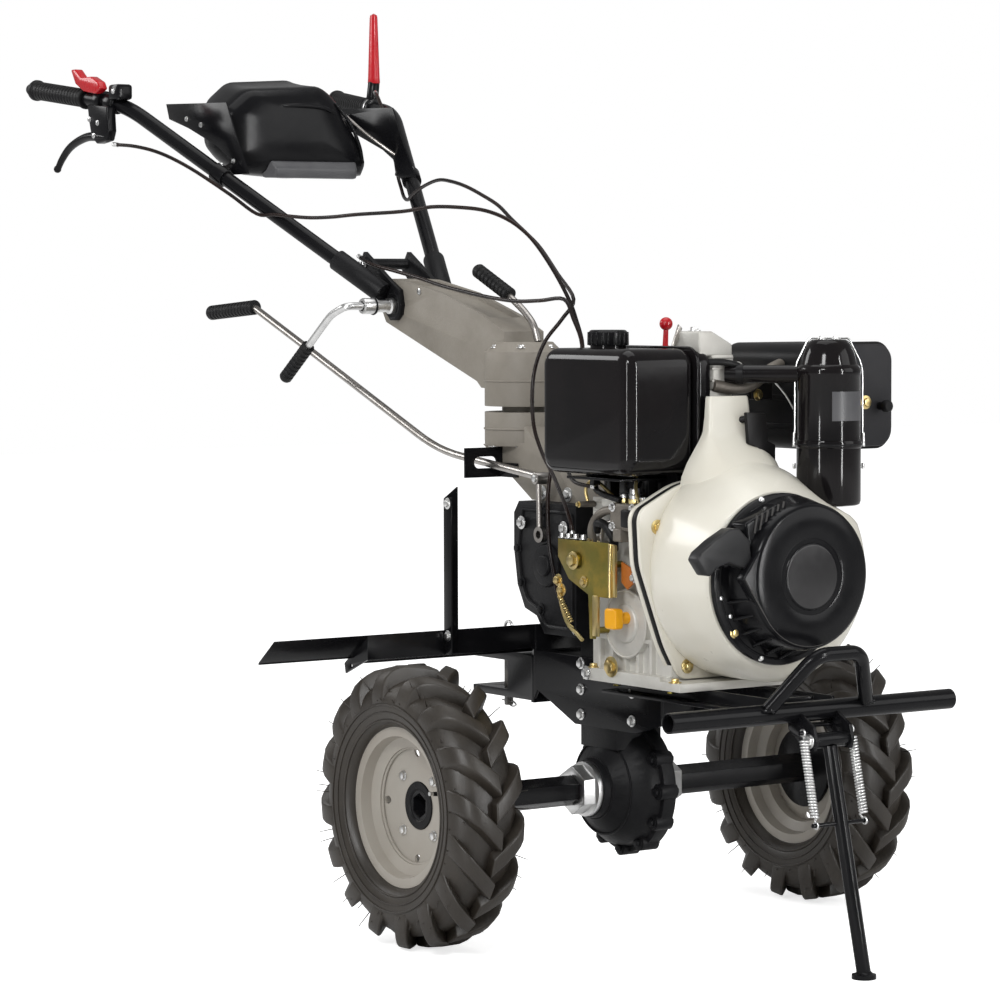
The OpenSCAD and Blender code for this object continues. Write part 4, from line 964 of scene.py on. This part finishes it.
def cleaner_shape(form):
    cx, cy = 332, 126
    at = (cx, cy, 0)
    canister = [(0, 433.2), (40, 433.2), (44.5, 435), (46.3, 440), (46.3, 516), (47.6, 517.5), (48, 519),
                (48, 525.5), (47.4, 527), (46, 527.6), (46, 620), (46.6, 621), (46.6, 629), (44.5, 633.5),
                (41.5, 636), (38, 650), (32, 664), (28.5, 669), (24, 671.8), (0, 671.8)]
    form.add(TANK_BLACK, lathe(canister, at, UP, 96))
    form.add(GRIP, hoop((cx, cy, 521.5), 47.2, "z", 1.4, 96))
    form.add(BLANK, skin_patch(at, 46.1, 556, 598, -34, 40))
    out = Vector((0.6, 0.8, 0))
    bail = ((-48.4, 530), (-48.4, 622), (-46, 638), (-30, 671), (-26, 674), (26, 674), (30, 671),
            (46, 638), (48.4, 622), (48.4, 530))
    wire = [Vector(at) + out * s + Vector((0, 0, z)) for s, z in bail]
    form.add(ZINC, tube(rounded(wire, 6), 1.5, 10))
    for s in (-1, 1):
        spot = Vector(at) + out * s * 49.4
        form.add(ZINC, bar(spot + Vector((0, 0, 518)), spot + Vector((0, 0, 538)), 3.2, 2.4, 12, 0.8))
        form.add(ZINC, bar(spot + Vector((0, 0, 486)), spot + Vector((0, 0, 494)), 2.4, sides=12, round=0.6))
        top = Vector(at) + out * s * 10 + Vector((0, 0, 671.8))
        form.bolt(ZINC, top, UP, 4, 4)
    form.add(TANK_BLACK, tube([(302, 94, 622), (268, 58, 622), (228.6, 18, 622)], 13, 28))
    form.add(HEAT_BLACK, tube([(247, 37, 622), (240, 30, 622)], 14.4, 28))
    add_injector_bracket(form)


def head_shape(form):
    form.add(ALLOY, bar((150, 34, 440), (150, 34, 601), 38, sides=64))
    for k in range(11):
        z = 452 + 13 * k
        form.add(ALLOY, bar((150, 34, z - 2), (150, 34, z + 2), 43, sides=64, round=1))
    outline = ((92, -8), (222, -8), (228, -2), (228, 32), (222, 38), (184, 44), (172, 74), (160, 78),
               (92, 78))
    form.add(ALLOY, prism(outline, 600, 650, "z", 2))
    form.add(ALLOY, bar((122, 77, 620), (122, 126.8, 620), 17, sides=36))
    cover = ((-28, 648), (33, 648), (33, 665), (-4, 684), (-28, 684))
    form.add(ALLOY, wrapped([(x, y, z) for x in (172, 227) for y, z in cover], 3))
    form.add(ALLOY, block((100, 172), (-12, 20), (648, 656), 2))
    form.bolt(ZINC, (200, -16, 684), UP, 5.5, 5)
    form.bolt(ZINC, (116, 60, 650), UP, 6.5, 6)
    form.bolt(ZINC, (150, 56, 650), UP, 6.5, 6)
    form.add(STEEL, prism(((-44, 655), (-36, 655), (-22, 688), (-28, 694)), 176, 180, "x", 0.8))
    for z in (612, 630, 646):
        form.add(ALLOY, block((180, 229.4), (-6, 33), (z - 1.6, z + 1.6), 1))
    manifold = rounded([(226, -2, 606), (233, 30, 600), (234, 62, 604), (232, 96, 626), (222, 126, 634)], 18)
    form.add(DULL_ALLOY, tube(manifold, 9, 24))
    form.add(HEAT_BLACK, block((222, 232), (64, 104), (584, 628), 3))
    form.bolt(PALE_GOLD, (232, 76, 591), FORWARD, 5, 5)
    form.bolt(PALE_GOLD, (232, 96, 616), FORWARD, 5, 5)
    hose = rounded([(226, -18, 640), (238, 8, 640), (242, 34, 634), (240, 50, 620)], 12)
    form.add(GRIP, tube(hose, 5, 16))
    form.add(ZINC, tube(rounded([(232, 98, 618), (246, 118, 590), (252, 136, 556)], 12), 1.6, 8))
    form.add(ALLOY, block((206, 227), (-14, 34), (556, 600), 4))


def add_injector_bracket(form):
    """The dark bracket between the shroud's neck and the air cleaner, with the injector's parts behind it."""
    bracket = ((20, 568), (56, 566), (60, 526), (74, 520), (74, 466), (44, 462), (42, 516), (24, 522))
    form.add(HEAT_BLACK, prism(bracket, 268, 276, "x", 2))
    form.bolt(ZINC, (276, 58, 480), FORWARD, 5, 4)
    form.add(HEAT_BLACK, tube(rounded([(272, 36, 560), (256, 20, 556), (226, 12, 556)], 10), 5, 16))


def add_tank_bracket_parts(form):
    form.add(BLACK, block((66, 216), (-60, -52), (441, 478), 2))
    form.add(BLACK, block((120, 150), (-84, -78), (430, 478), 2))
    hose = [(70, -96, 478), (78, -106, 452), (112, -112, 446), (150, -112, 440)]
    form.add(GRIP, tube(rounded(hose, 14), 4.5, 14))
    form.add(PALE_GOLD, tube(rounded([(178, -104, 477), (186, -112, 456), (200, -116, 438)], 12), 2.6, 12))
    for x in (91, 165):
        form.add(GRIP, bar((x, -90, 477.8), (x, -90, 481), 13, sides=24, round=1))
        form.bolt(ZINC, (x, -120, 473), DOWN, 5, 4)


make("engine_block", "chassis", "crankcase", "raw_aluminium", crankcase_shape)
make("cylinder_and_head", "chassis", "cylinder_head", "raw_aluminium", head_shape)
make("shroud", "chassis", "fan_shroud", "white_paint", shroud_shape, sharp=40)
make("pull_starter", "chassis", "recoil_starter", "black_plastic", starter_shape, sharp=40)
make("tank", "chassis", "fuel_tank", "black_paint", tank_shape, sharp=45)
make("tank_cap", "chassis", "fuel_cap", "black_plastic", cap_shape)
make("exhaust_box", "chassis", "muffler", "black_paint", muffler_shape, sharp=45)
make("filter_canister", "chassis", "air_cleaner", "black_paint", cleaner_shape)
carry("tank_bracket", "chassis", BLACK, 0.8, "black_paint", add_tank_bracket_parts)


# Governor plate, injection pump and small engine parts

def governor_shape(form):
    form.add(GOLD, node_shape("governor_plate", 0.8))
    form.add(PALE_GOLD, prism(((140, 378), (156, 376), (156, 300), (140, 298)), -128, -122, "y", 1.5))
    form.add(PALE_GOLD, block((100, 114), (-127, -122), (240, 300), 1.5))
    form.add(GOLD, lathe([(0, 0), (12, 0), (12, 2), (9, 3), (0, 3)], (56, -125, 348), RIGHT, 32))
    form.bolt(PALE_GOLD, (56, -128, 348), RIGHT, 8, 6)
    form.bolt(PALE_GOLD, (78, -125, 318), RIGHT, 5, 4)
    for x in (22, 38, 56, 74):
        form.bolt(ZINC, (x, -123, 380), UP, 4, 6)
    form.add(PALE_GOLD, tube([(148, -128, 376), (148, -130, 330), (148, -130, 300)], 2.6, 12))
    tab = ((156, 352), (178, 344), (184, 322), (170, 312), (156, 322))
    form.add(ORANGE, prism(tab, -116, -112, "y", 1.2))
    form.bolt(ZINC, (184, -114, 330), RIGHT, 4.5, 4)
    bracket = [(14, -122, 312), (16, -123, 290), (34, -124, 256), (60, -124, 240), (72, -124, 232)]
    form.add(PALE_GOLD, tube(flowing(bracket, 4), 3, 10))
    for x, z in ((17, 302), (8, 316)):
        form.bolt(PALE_GOLD, (x, -120, z), RIGHT, 5.5, 6)
    coil_from, coil_to = Vector((20, -130, 300)), Vector((56, -128, 250))
    form.add(PALE_GOLD, coil(coil_from, coil_to, 3.4, 0.9, 12, 8))


def pump_shape(form):
    form.add(DULL_ALLOY, block((128, 192), (-116, -88.4), (396, 436), 4))
    form.add(DULL_ALLOY, block((140, 160), (-120, -88.4), (380, 400), 3))
    form.add(ALLOY, block((196, 226), (-106, -88.4), (384, 420), 4))
    for x, z0, z1, r in ((171, 434, 458, 8.5), (146, 434, 450, 7), (190, 420, 446, 6)):
        form.add(ZINC, bar((x, -102, z0), (x, -102, z1), r, r - 1, 24, 0.8))
        form.add(PALE_GOLD, bar((x, -102, z0 + 2), (x, -102, z0 + 9), r + 2.5, sides=6, round=0.8))
        form.add(ZINC, hoop((x, -102, z0 + 15), r, "z", 1, 24, sides=6))
    for x, z, r, out in ((210, 366, 14, 20), (66, 376, 7, 16), (86, 372, 6, 16), (54, 430, 5, 28)):
        form.add(DULL_ALLOY, bar((x, -88.4, z), (x, -88.4 - out, z), r, r * 0.86, 28, 1))
        form.bolt(PALE_GOLD if r < 10 else ZINC, (x, -88.4 - out, z), RIGHT, r * 0.55, 4)
    pipes = (
        (DULL_ALLOY, 6.5, [(66, -100, 372), (68, -103, 396), (84, -104, 414), (104, -101, 423),
                           (132, -100, 424)]),
        (STEEL, 4.5, [(86, -98, 368), (88, -100, 390), (100, -100, 403), (132, -98, 408)]),
        (PALE_GOLD, 2.6, [(54, -99, 430), (50, -101, 450), (60, -102, 462), (78, -102, 465),
                          (104, -101, 452), (142, -99, 430)]),
        (GRIP, 6.5, [(84, -104, 392), (92, -110, 404), (112, -112, 402), (124, -106, 384),
                     (118, -100, 366)]),
        (GRIP, 6, [(168, -98, 398), (178, -108, 386), (196, -106, 372), (210, -98, 366)]))
    for finish, r, path in pipes:
        form.add(finish, tube(flowing(path, 6), r, 16))
    form.add(HEAT_BLACK, block((164, 188), (-124, -114), (402, 428), 3))
    for x, z in ((136, 430), (184, 430), (136, 402), (184, 404)):
        form.bolt(ZINC, (x, -116, z), RIGHT, 4, 4)
    form.add(ALLOY, block((84, 120), (-98, -88.4), (428, 440), 2))
    feed = [(171, -102, 458), (168, -96, 468), (160, -80, 470), (152, -60, 462)]
    form.add(ZINC, tube(flowing(feed, 6), 3, 12))


def filler_shape(form):
    form.add(YELLOW, bar((150, -97.4, 269), (150, -118, 269), 9, sides=32, round=0.8))
    form.add(YELLOW, soft_box((136, 164), (-132, -117), (254, 284), 6, "y", 2.5, 6))


def decompression_shape(form):
    form.add(RED, lathe([(0, 650.3), (8, 650.3), (8, 659), (6, 662), (0, 662)], (110, 0, 0), UP, 32))
    form.add(RED, bar((110, 0, 658), (112, 0, 690), 4.2, 3.6, 20))
    form.add(RED, ball((112, 0, 694), 9.8))


make("control_plate", "chassis", "governor_plate", "zinc_yellow", governor_shape)
make("fuel_pump", "chassis", "injection_pump", "raw_aluminium", pump_shape)
make("filler_knob", "chassis", "oil_filler", "yellow_plastic", filler_shape)
make("red_knob", "chassis", "decompression_lever", "red_plastic", decompression_shape)


# Column and shift linkage

def arm_shape(form):
    form.add(CAST_GREY, node_shape("column_arm", 6))
    for a in range(0, 360, 60):
        t = math.radians(a + 20)
        form.bolt(ZINC, (COLUMN_X + 48 * math.cos(t), 48 * math.sin(t), 655), UP, 5, 4)
    form.add(CAST_GREY, hoop((COLUMN_X, 0, 604), 61, "z", 1.6, 80))
    for side in (-1, 1):
        low, high = (TILT_X, side * 37.8, TILT_Z), (TILT_X, side * 38.2, TILT_Z)
        form.add(CAST_GREY, bar(low, high, 25, 24, 48, 0.1))
        form.bolt(ZINC, (-485, side * 38, 742), (0, side, 0), 5, 0.2, 0)


def shift_rod_shape(form):
    y = -72
    rod = rounded([(-946, y, 718), (-786, y, 655), (-380, y, 493), (-93, y, 461)], 60, 8)
    form.add(STEEL, tube(rod, 6, 20))
    form.add(GRIP, ribbed_grip((-937, y, 716), (-1085, y, 706), 12.6, 13))
    form.add(STEEL, bar((-93, -92, 461), (-93, -66, 461), 9, sides=28, round=1))
    form.add(STEEL, tube([(-93, -84, 461), (-95, -81, 388)], 4.5, 16))
    form.add(STEEL, lathe([(6.2, -4), (12, -4), (12, 4), (6.2, 4)], (-95, -80, 376), LEFT, 32, True))
    form.bolt(ZINC, (-93, -91, 461), RIGHT, 5, 2, 0)


def ribbed_grip(root, tip, r, ribs):
    """A rubber sleeve with raised ribs and a rounded end."""
    root, tip = Vector(root), Vector(tip)
    length = (tip - root).length
    pitch = (length - 14) / ribs
    profile = [(0, 0), (r - 2, 0), (r, 1.5), (r, 5)]
    for k in range(ribs):
        s = 7 + pitch * k
        profile += [(r - 1.6, s), (r - 1.6, s + pitch * 0.3), (r, s + pitch * 0.42), (r, s + pitch * 0.85)]
    profile += [(r, length - 4), (r - 1.5, length - 1.2), (r - 5, length), (0, length)]
    return lathe(profile, root, tip - root, 40)


def gear_lever_shape(form):
    rod = rounded([(-212, 0, 664.6), (-222, 0, 690), (-249, 0, 712), (-300, 0, 741)], 22, 6)
    form.add(STEEL, tube(rod, 5.5, 20))
    form.add(GRIP, ribbed_grip((-287, 0, 736), (-377, 0, 776), 11.6, 8))


def add_yoke_details(form):
    for side in (-1, 1):
        form.bolt(ZINC, (-638, side * 46.3, 787), (0, side, 0), 6.5, 5)
        form.add(CAST_BLACK, hoop((TILT_X, side * 46.3, TILT_Z), 20, "y", 1.6, 48))


make("swivel_arm", "column", "column_arm", "grey_casting", arm_shape)
make("gear_stick", "column", "gear_lever", "bright_steel", gear_lever_shape)
make("shift_link", "chassis", "shift_rod", "bright_steel", shift_rod_shape)
carry("shift_gate", "chassis", BLACK, 0.6, "black_paint")
carry("yoke", "handlebar", CAST_BLACK, 2, "black_casting", add_yoke_details)


# Handlebar

# The left tube's lower end, the corner of its bend and its upper end, and the directions between them
TUBE_LOW = Vector((-560, 58, 739))
TUBE_BEND = Vector((-1028, 268, 1056))
TUBE_END = Vector((-1276, 307, 1091))
TUBE_RISE = (TUBE_BEND - TUBE_LOW).normalized()
TUBE_RUN = (TUBE_END - TUBE_BEND).normalized()


def tubes_shape(form):
    path = rounded([TUBE_LOW + TUBE_RISE * 8.6, TUBE_BEND, TUBE_END - TUBE_RUN * 5], 46, 10)
    form.add(BLACK, tube(path, 12.5, 32), both=True)


def grips_shape(form):
    root = TUBE_END - TUBE_RUN * 148
    profile = [(13, 0), (17.4, 0), (18.2, 1.4), (18.2, 5), (16.6, 7), (15.2, 9)]
    for k in range(15):
        s = 12 + 8.2 * k
        profile += [(14.9, s), (14.9, s + 2), (15.9, s + 3), (15.9, s + 6.6)]
    profile += [(15.6, 137), (17.6, 139), (18, 141), (18, 146), (16.6, 149), (12, 157), (8.6, 164.4),
                (0, 164.6)]
    form.add(GRIP, lathe(profile, root, TUBE_RUN, 48), both=True)


def dash_frame_shape(form):
    form.add(BLACK, node_shape("dash_frame", 0.8))
    clamp = TUBE_LOW.lerp(TUBE_BEND, 0.62)
    for side in (-1, 1):
        for x, z in ((-1000, 1034), (-952, 1022), (-846, 958)):
            form.bolt(ZINC, (x, side * 166, z), (0, side, 0), 3.2, 2.4, 1.4)
        form.bolt(ZINC, Vector((clamp.x, side * clamp.y, clamp.z + 15)), UP, 4, 4)
    brace = [(-905, 86, 1046), (-890, 126, 1010), (-862, 163.5, 976)]
    form.add(STEEL, tube(flowing(brace, 5), 2.4, 10))


def cover_shape(form):
    """The hood over the dash, with its bulged front and the lighter lip under it."""
    front = ((-104, 1084), (44, 1093), (74, 1070), (128, 984), (137, 958), (128, 940), (-20, 934),
             (-112, 940), (-150, 968), (-152, 1044))
    ring = rounded([(0, y, z) for y, z in front[5:] + front[:6]], 16, 4)[1:]
    stations = ((-999, 0.86, 24), (-990, 0.92, 16), (-960, 0.97, 6), (-930, 1.0, 0), (-914, 0.985, 0),
                (-905, 0.95, 0), (-898, 0.88, 2), (-892, 0.74, 5), (-887, 0.52, 8), (-885, 0.25, 10))
    slices = []
    for x, f, rise in stations:
        lift = rise if x < -930 else rise * 0.4
        slices.append([(x, p.y * f, 1010 + (p.z - 1010) * f + lift) for p in ring])
    form.add(PLASTIC, loft(slices))
    lip = []
    for x, right, left, z in ((-908, -76, 110, 966), (-908, -76, 110, 934), (-889, -66, 102, 962),
                              (-880, -62, 98, 950), (-882, -62, 98, 934)):
        lip += [(x, right, z), (x, left, z)]
    form.add(BLANK, wrapped(lip, 4))
    ridge = [(-898, 66, 1062), (-894, 92, 1030), (-895, 112, 992), (-900, 122, 962)]
    form.add(PLASTIC, tube(flowing(ridge, 6), 3, 12))
    ledge = [(-893, -60, 1052), (-886, -20, 1056), (-885, 30, 1054), (-892, 60, 1046)]
    form.add(PLASTIC, tube(flowing(ledge, 6), 3.4, 12))


def crank_shape(form):
    form.add(ZINC, bar((TILT_X, -60, TILT_Z), (TILT_X, 54, TILT_Z), 8, sides=32, round=0.8))
    form.add(ZINC, bar((TILT_X, 47, TILT_Z), (TILT_X, 58, TILT_Z), 14, sides=6, round=1.2))
    sleeve = [(8, -105), (12, -105), (12.8, -103), (12.8, -80), (10, -77), (10, -56), (13, -54),
              (13, -47), (8, -47)]
    form.add(ZINC, lathe(sleeve, (TILT_X, 0, TILT_Z), LEFT, 40, True))
    form.add(GRIP, hoop((TILT_X, -84, TILT_Z), 12.6, "y", 2, 40))
    low, knee = Vector((-738, -136, 600)), Vector((-594, -136, 705))
    arm = [(TILT_X, -100, TILT_Z), (TILT_X, -136, TILT_Z), knee, low.lerp(knee, 0.3)]
    form.add(ZINC, tube(rounded(arm, 14, 6), 6, 20))
    form.add(GRIP, ribbed_grip(low.lerp(knee, 0.52), low, 10.8, 8))


def perch_shape(form):
    at = TUBE_BEND.lerp(TUBE_END, 0.12)
    form.add(BLACK, bar(at - TUBE_RUN * 11, at + TUBE_RUN * 11, 18, sides=40, round=1.5))
    perch = ((-1110, 1060), (-1040, 1054), (-1036, 1012), (-1044, 996), (-1078, 992), (-1096, 1004),
             (-1104, 1030))
    form.add(BLACK, prism(perch, 280, 297, "y", 3, 3))
    blade = flowing([(-1052, 289, 1002), (-1090, 290, 1005), (-1120, 291, 1005), (-1155, 292, 998),
                     (-1185, 292, 987), (-1210, 292, 970), (-1227, 292, 953)], 5)
    last = len(blade) - 1
    widths = [1.55 - 0.55 * k / last for k in range(last + 1)]
    form.add(BLACK, tube(blade, 5.4, 16, widths=widths))
    form.add(BLACK, ball((-1227, 292, 954), 6.6))
    for x, z in ((-1100, 1034), (-1072, 1027), (-1086, 1006)):
        form.bolt(ZINC, (x, 297, z), LEFT, 3.6, 2, 1.3)
    form.add(BLACK, block((-1046, -1012), (262, 292), (1064, 1090), 5))
    form.bolt(ZINC, (-1026, 292, 1078), LEFT, 3.6, 2, 1.3)


def thumb_shape(form):
    at = TUBE_BEND.lerp(TUBE_END, 0.26)
    form.add(BLACK, bar(at - TUBE_RUN * 12, at + TUBE_RUN * 7, 17.8, sides=40, round=1.5))
    paddle = ((-1166, 1121), (-1150, 1121), (-1130, 1106), (-1096, 1106), (-1070, 1096), (-1062, 1084),
              (-1080, 1076), (-1122, 1082), (-1150, 1096))
    form.add(RED, prism(paddle, 282, 298, "y", 3, 3))


def stop_shape(form):
    at = TUBE_BEND.lerp(TUBE_END, 0.36)
    form.add(BLACK, bar(at - TUBE_RUN * 12, at + TUBE_RUN * 12, 18, sides=40, round=1.5))
    form.add(ZINC, bar(at - TUBE_RUN * 3, at + TUBE_RUN * 3, 18.4, sides=40, round=0.8))
    form.add(BLACK, bar(at + Vector((0, 0, 10)), at + Vector((0, 4, 46)), 11, 10.4, 28, 1.5))
    blade = lathe([(0, 0), (10.4, 0), (11, 2), (10.4, 10), (7, 116), (6, 121), (0, 124.4)], (0, 0, 0), UP, 40)
    bmesh.ops.scale(blade, vec=(1.3, 0.85, 1), verts=blade.verts)
    bmesh.ops.translate(blade, vec=at + Vector((0, 4, 44)), verts=blade.verts)
    form.add(RED, blade)


make("handle_tube_pair", "handlebar", "handle_tubes", "black_paint", tubes_shape, sharp=60)
make("rubber_grips", "handlebar", "grips", "black_rubber", grips_shape)
make("dash_plates", "handlebar", "dash_frame", "black_paint", dash_frame_shape)
make("dash_hood", "handlebar", "dash_cover", "black_plastic", cover_shape, sharp=50)
make("clamp_handle", "handlebar", "clamp_crank", "bright_steel", crank_shape)
make("clutch_handle", "handlebar", "clutch_lever", "black_paint", perch_shape, mirror=True)
make("thumb_control", "handlebar", "thumb_lever", "red_plastic", thumb_shape, mirror=True)
make("stop_control", "handlebar", "stop_lever", "red_plastic", stop_shape)


# Cables

# Points on each cable's line, from the handlebar to the engine or the gearbox
CLUTCH_ROUTE = ((-1040, -285, 990), (-985, -273, 985), (-930, -256, 972), (-880, -228, 946),
                (-820, -190, 903), (-770, -168, 870), (-735, -155, 868), (-660, -140, 862),
                (-600, -130, 862), (-540, -120, 865), (-440, -100, 868), (-375, -88, 874), (-310, -77, 872),
                (-255, -68, 866), (-210, -58, 852), (-175, -50, 832), (-145, -46, 808), (-110, -41, 770),
                (-80, -37, 730), (-60, -38, 700), (-38, -42, 660), (-36, -52, 620), (-45, -66, 570),
                (-55, -80, 510), (-63, -88, 440), (-55, -92, 365), (-35, -97, 320), (-20, -102, 295),
                (10, -108, 262), (40, -112, 238))
THROTTLE_ROUTE = ((-1085, 268, 1095), (-1050, 253, 1080), (-1005, 238, 1045), (-940, 211, 995),
                  (-905, 193, 962), (-875, 178, 938), (-850, 168, 918), (-820, 154, 902), (-790, 142, 897),
                  (-765, 135, 905), (-715, 125, 918), (-650, 110, 926), (-590, 95, 922), (-525, 80, 912),
                  (-455, 64, 896), (-390, 50, 878), (-325, 30, 855), (-265, 16, 832), (-210, 4, 808),
                  (-140, -14, 768), (-80, -28, 730), (-88, -44, 700), (-108, -60, 668), (-120, -70, 630),
                  (-115, -80, 590), (-97, -90, 540), (-67, -96, 500), (-32, -102, 470), (8, -112, 435),
                  (36, -119, 405), (44, -121, 386))
STOP_ROUTE = ((-640, -54, 800), (-600, -54, 786), (-540, -52, 776), (-470, -50, 764), (-405, -48, 751),
              (-330, -48, 740), (-265, -48, 732), (-200, -48, 727), (-140, -47, 728), (-80, -46, 730),
              (-54, -48, 702), (-26, -52, 662), (-14, -66, 610), (-12, -86, 560), (-6, -96, 512),
              (8, -104, 482), (24, -108, 467), (45, -111, 460), (84, -108, 456))


def cable(name, route, node, split, turn_a, turn_b):
    """A sheathed cable in two lengths, each with a bright fitting at its outer end."""
    path = flowing(route, 5)
    cut = split * 5
    ends = ((path[:cut + 1], "handlebar", "column", turn_a), (path[cut:], "column", "chassis", turn_b))
    for part, (points, first, second, (start, end)) in zip(("upper", "lower"), ends):
        form = Form().add(SHEATH, tube(points, 3, 14))
        tip = points[0] if part == "upper" else points[-1]
        near = points[1] if part == "upper" else points[-2]
        form.add(ZINC, tube([tip, near], 3.8, 14))
        piece = form.done(name + "_" + part, None, node, slot="black_rubber", sharp=60)
        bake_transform(piece)


cable("clutch_line", CLUTCH_ROUTE, "clutch_cable", 11, (6, 10), (12, 18))
cable("throttle_line", THROTTLE_ROUTE, "throttle_cable", 14, (9, 13), (15, 19))
cable("stop_line", STOP_ROUTE, "stop_cable", 4, (0, 3), (5, 8))
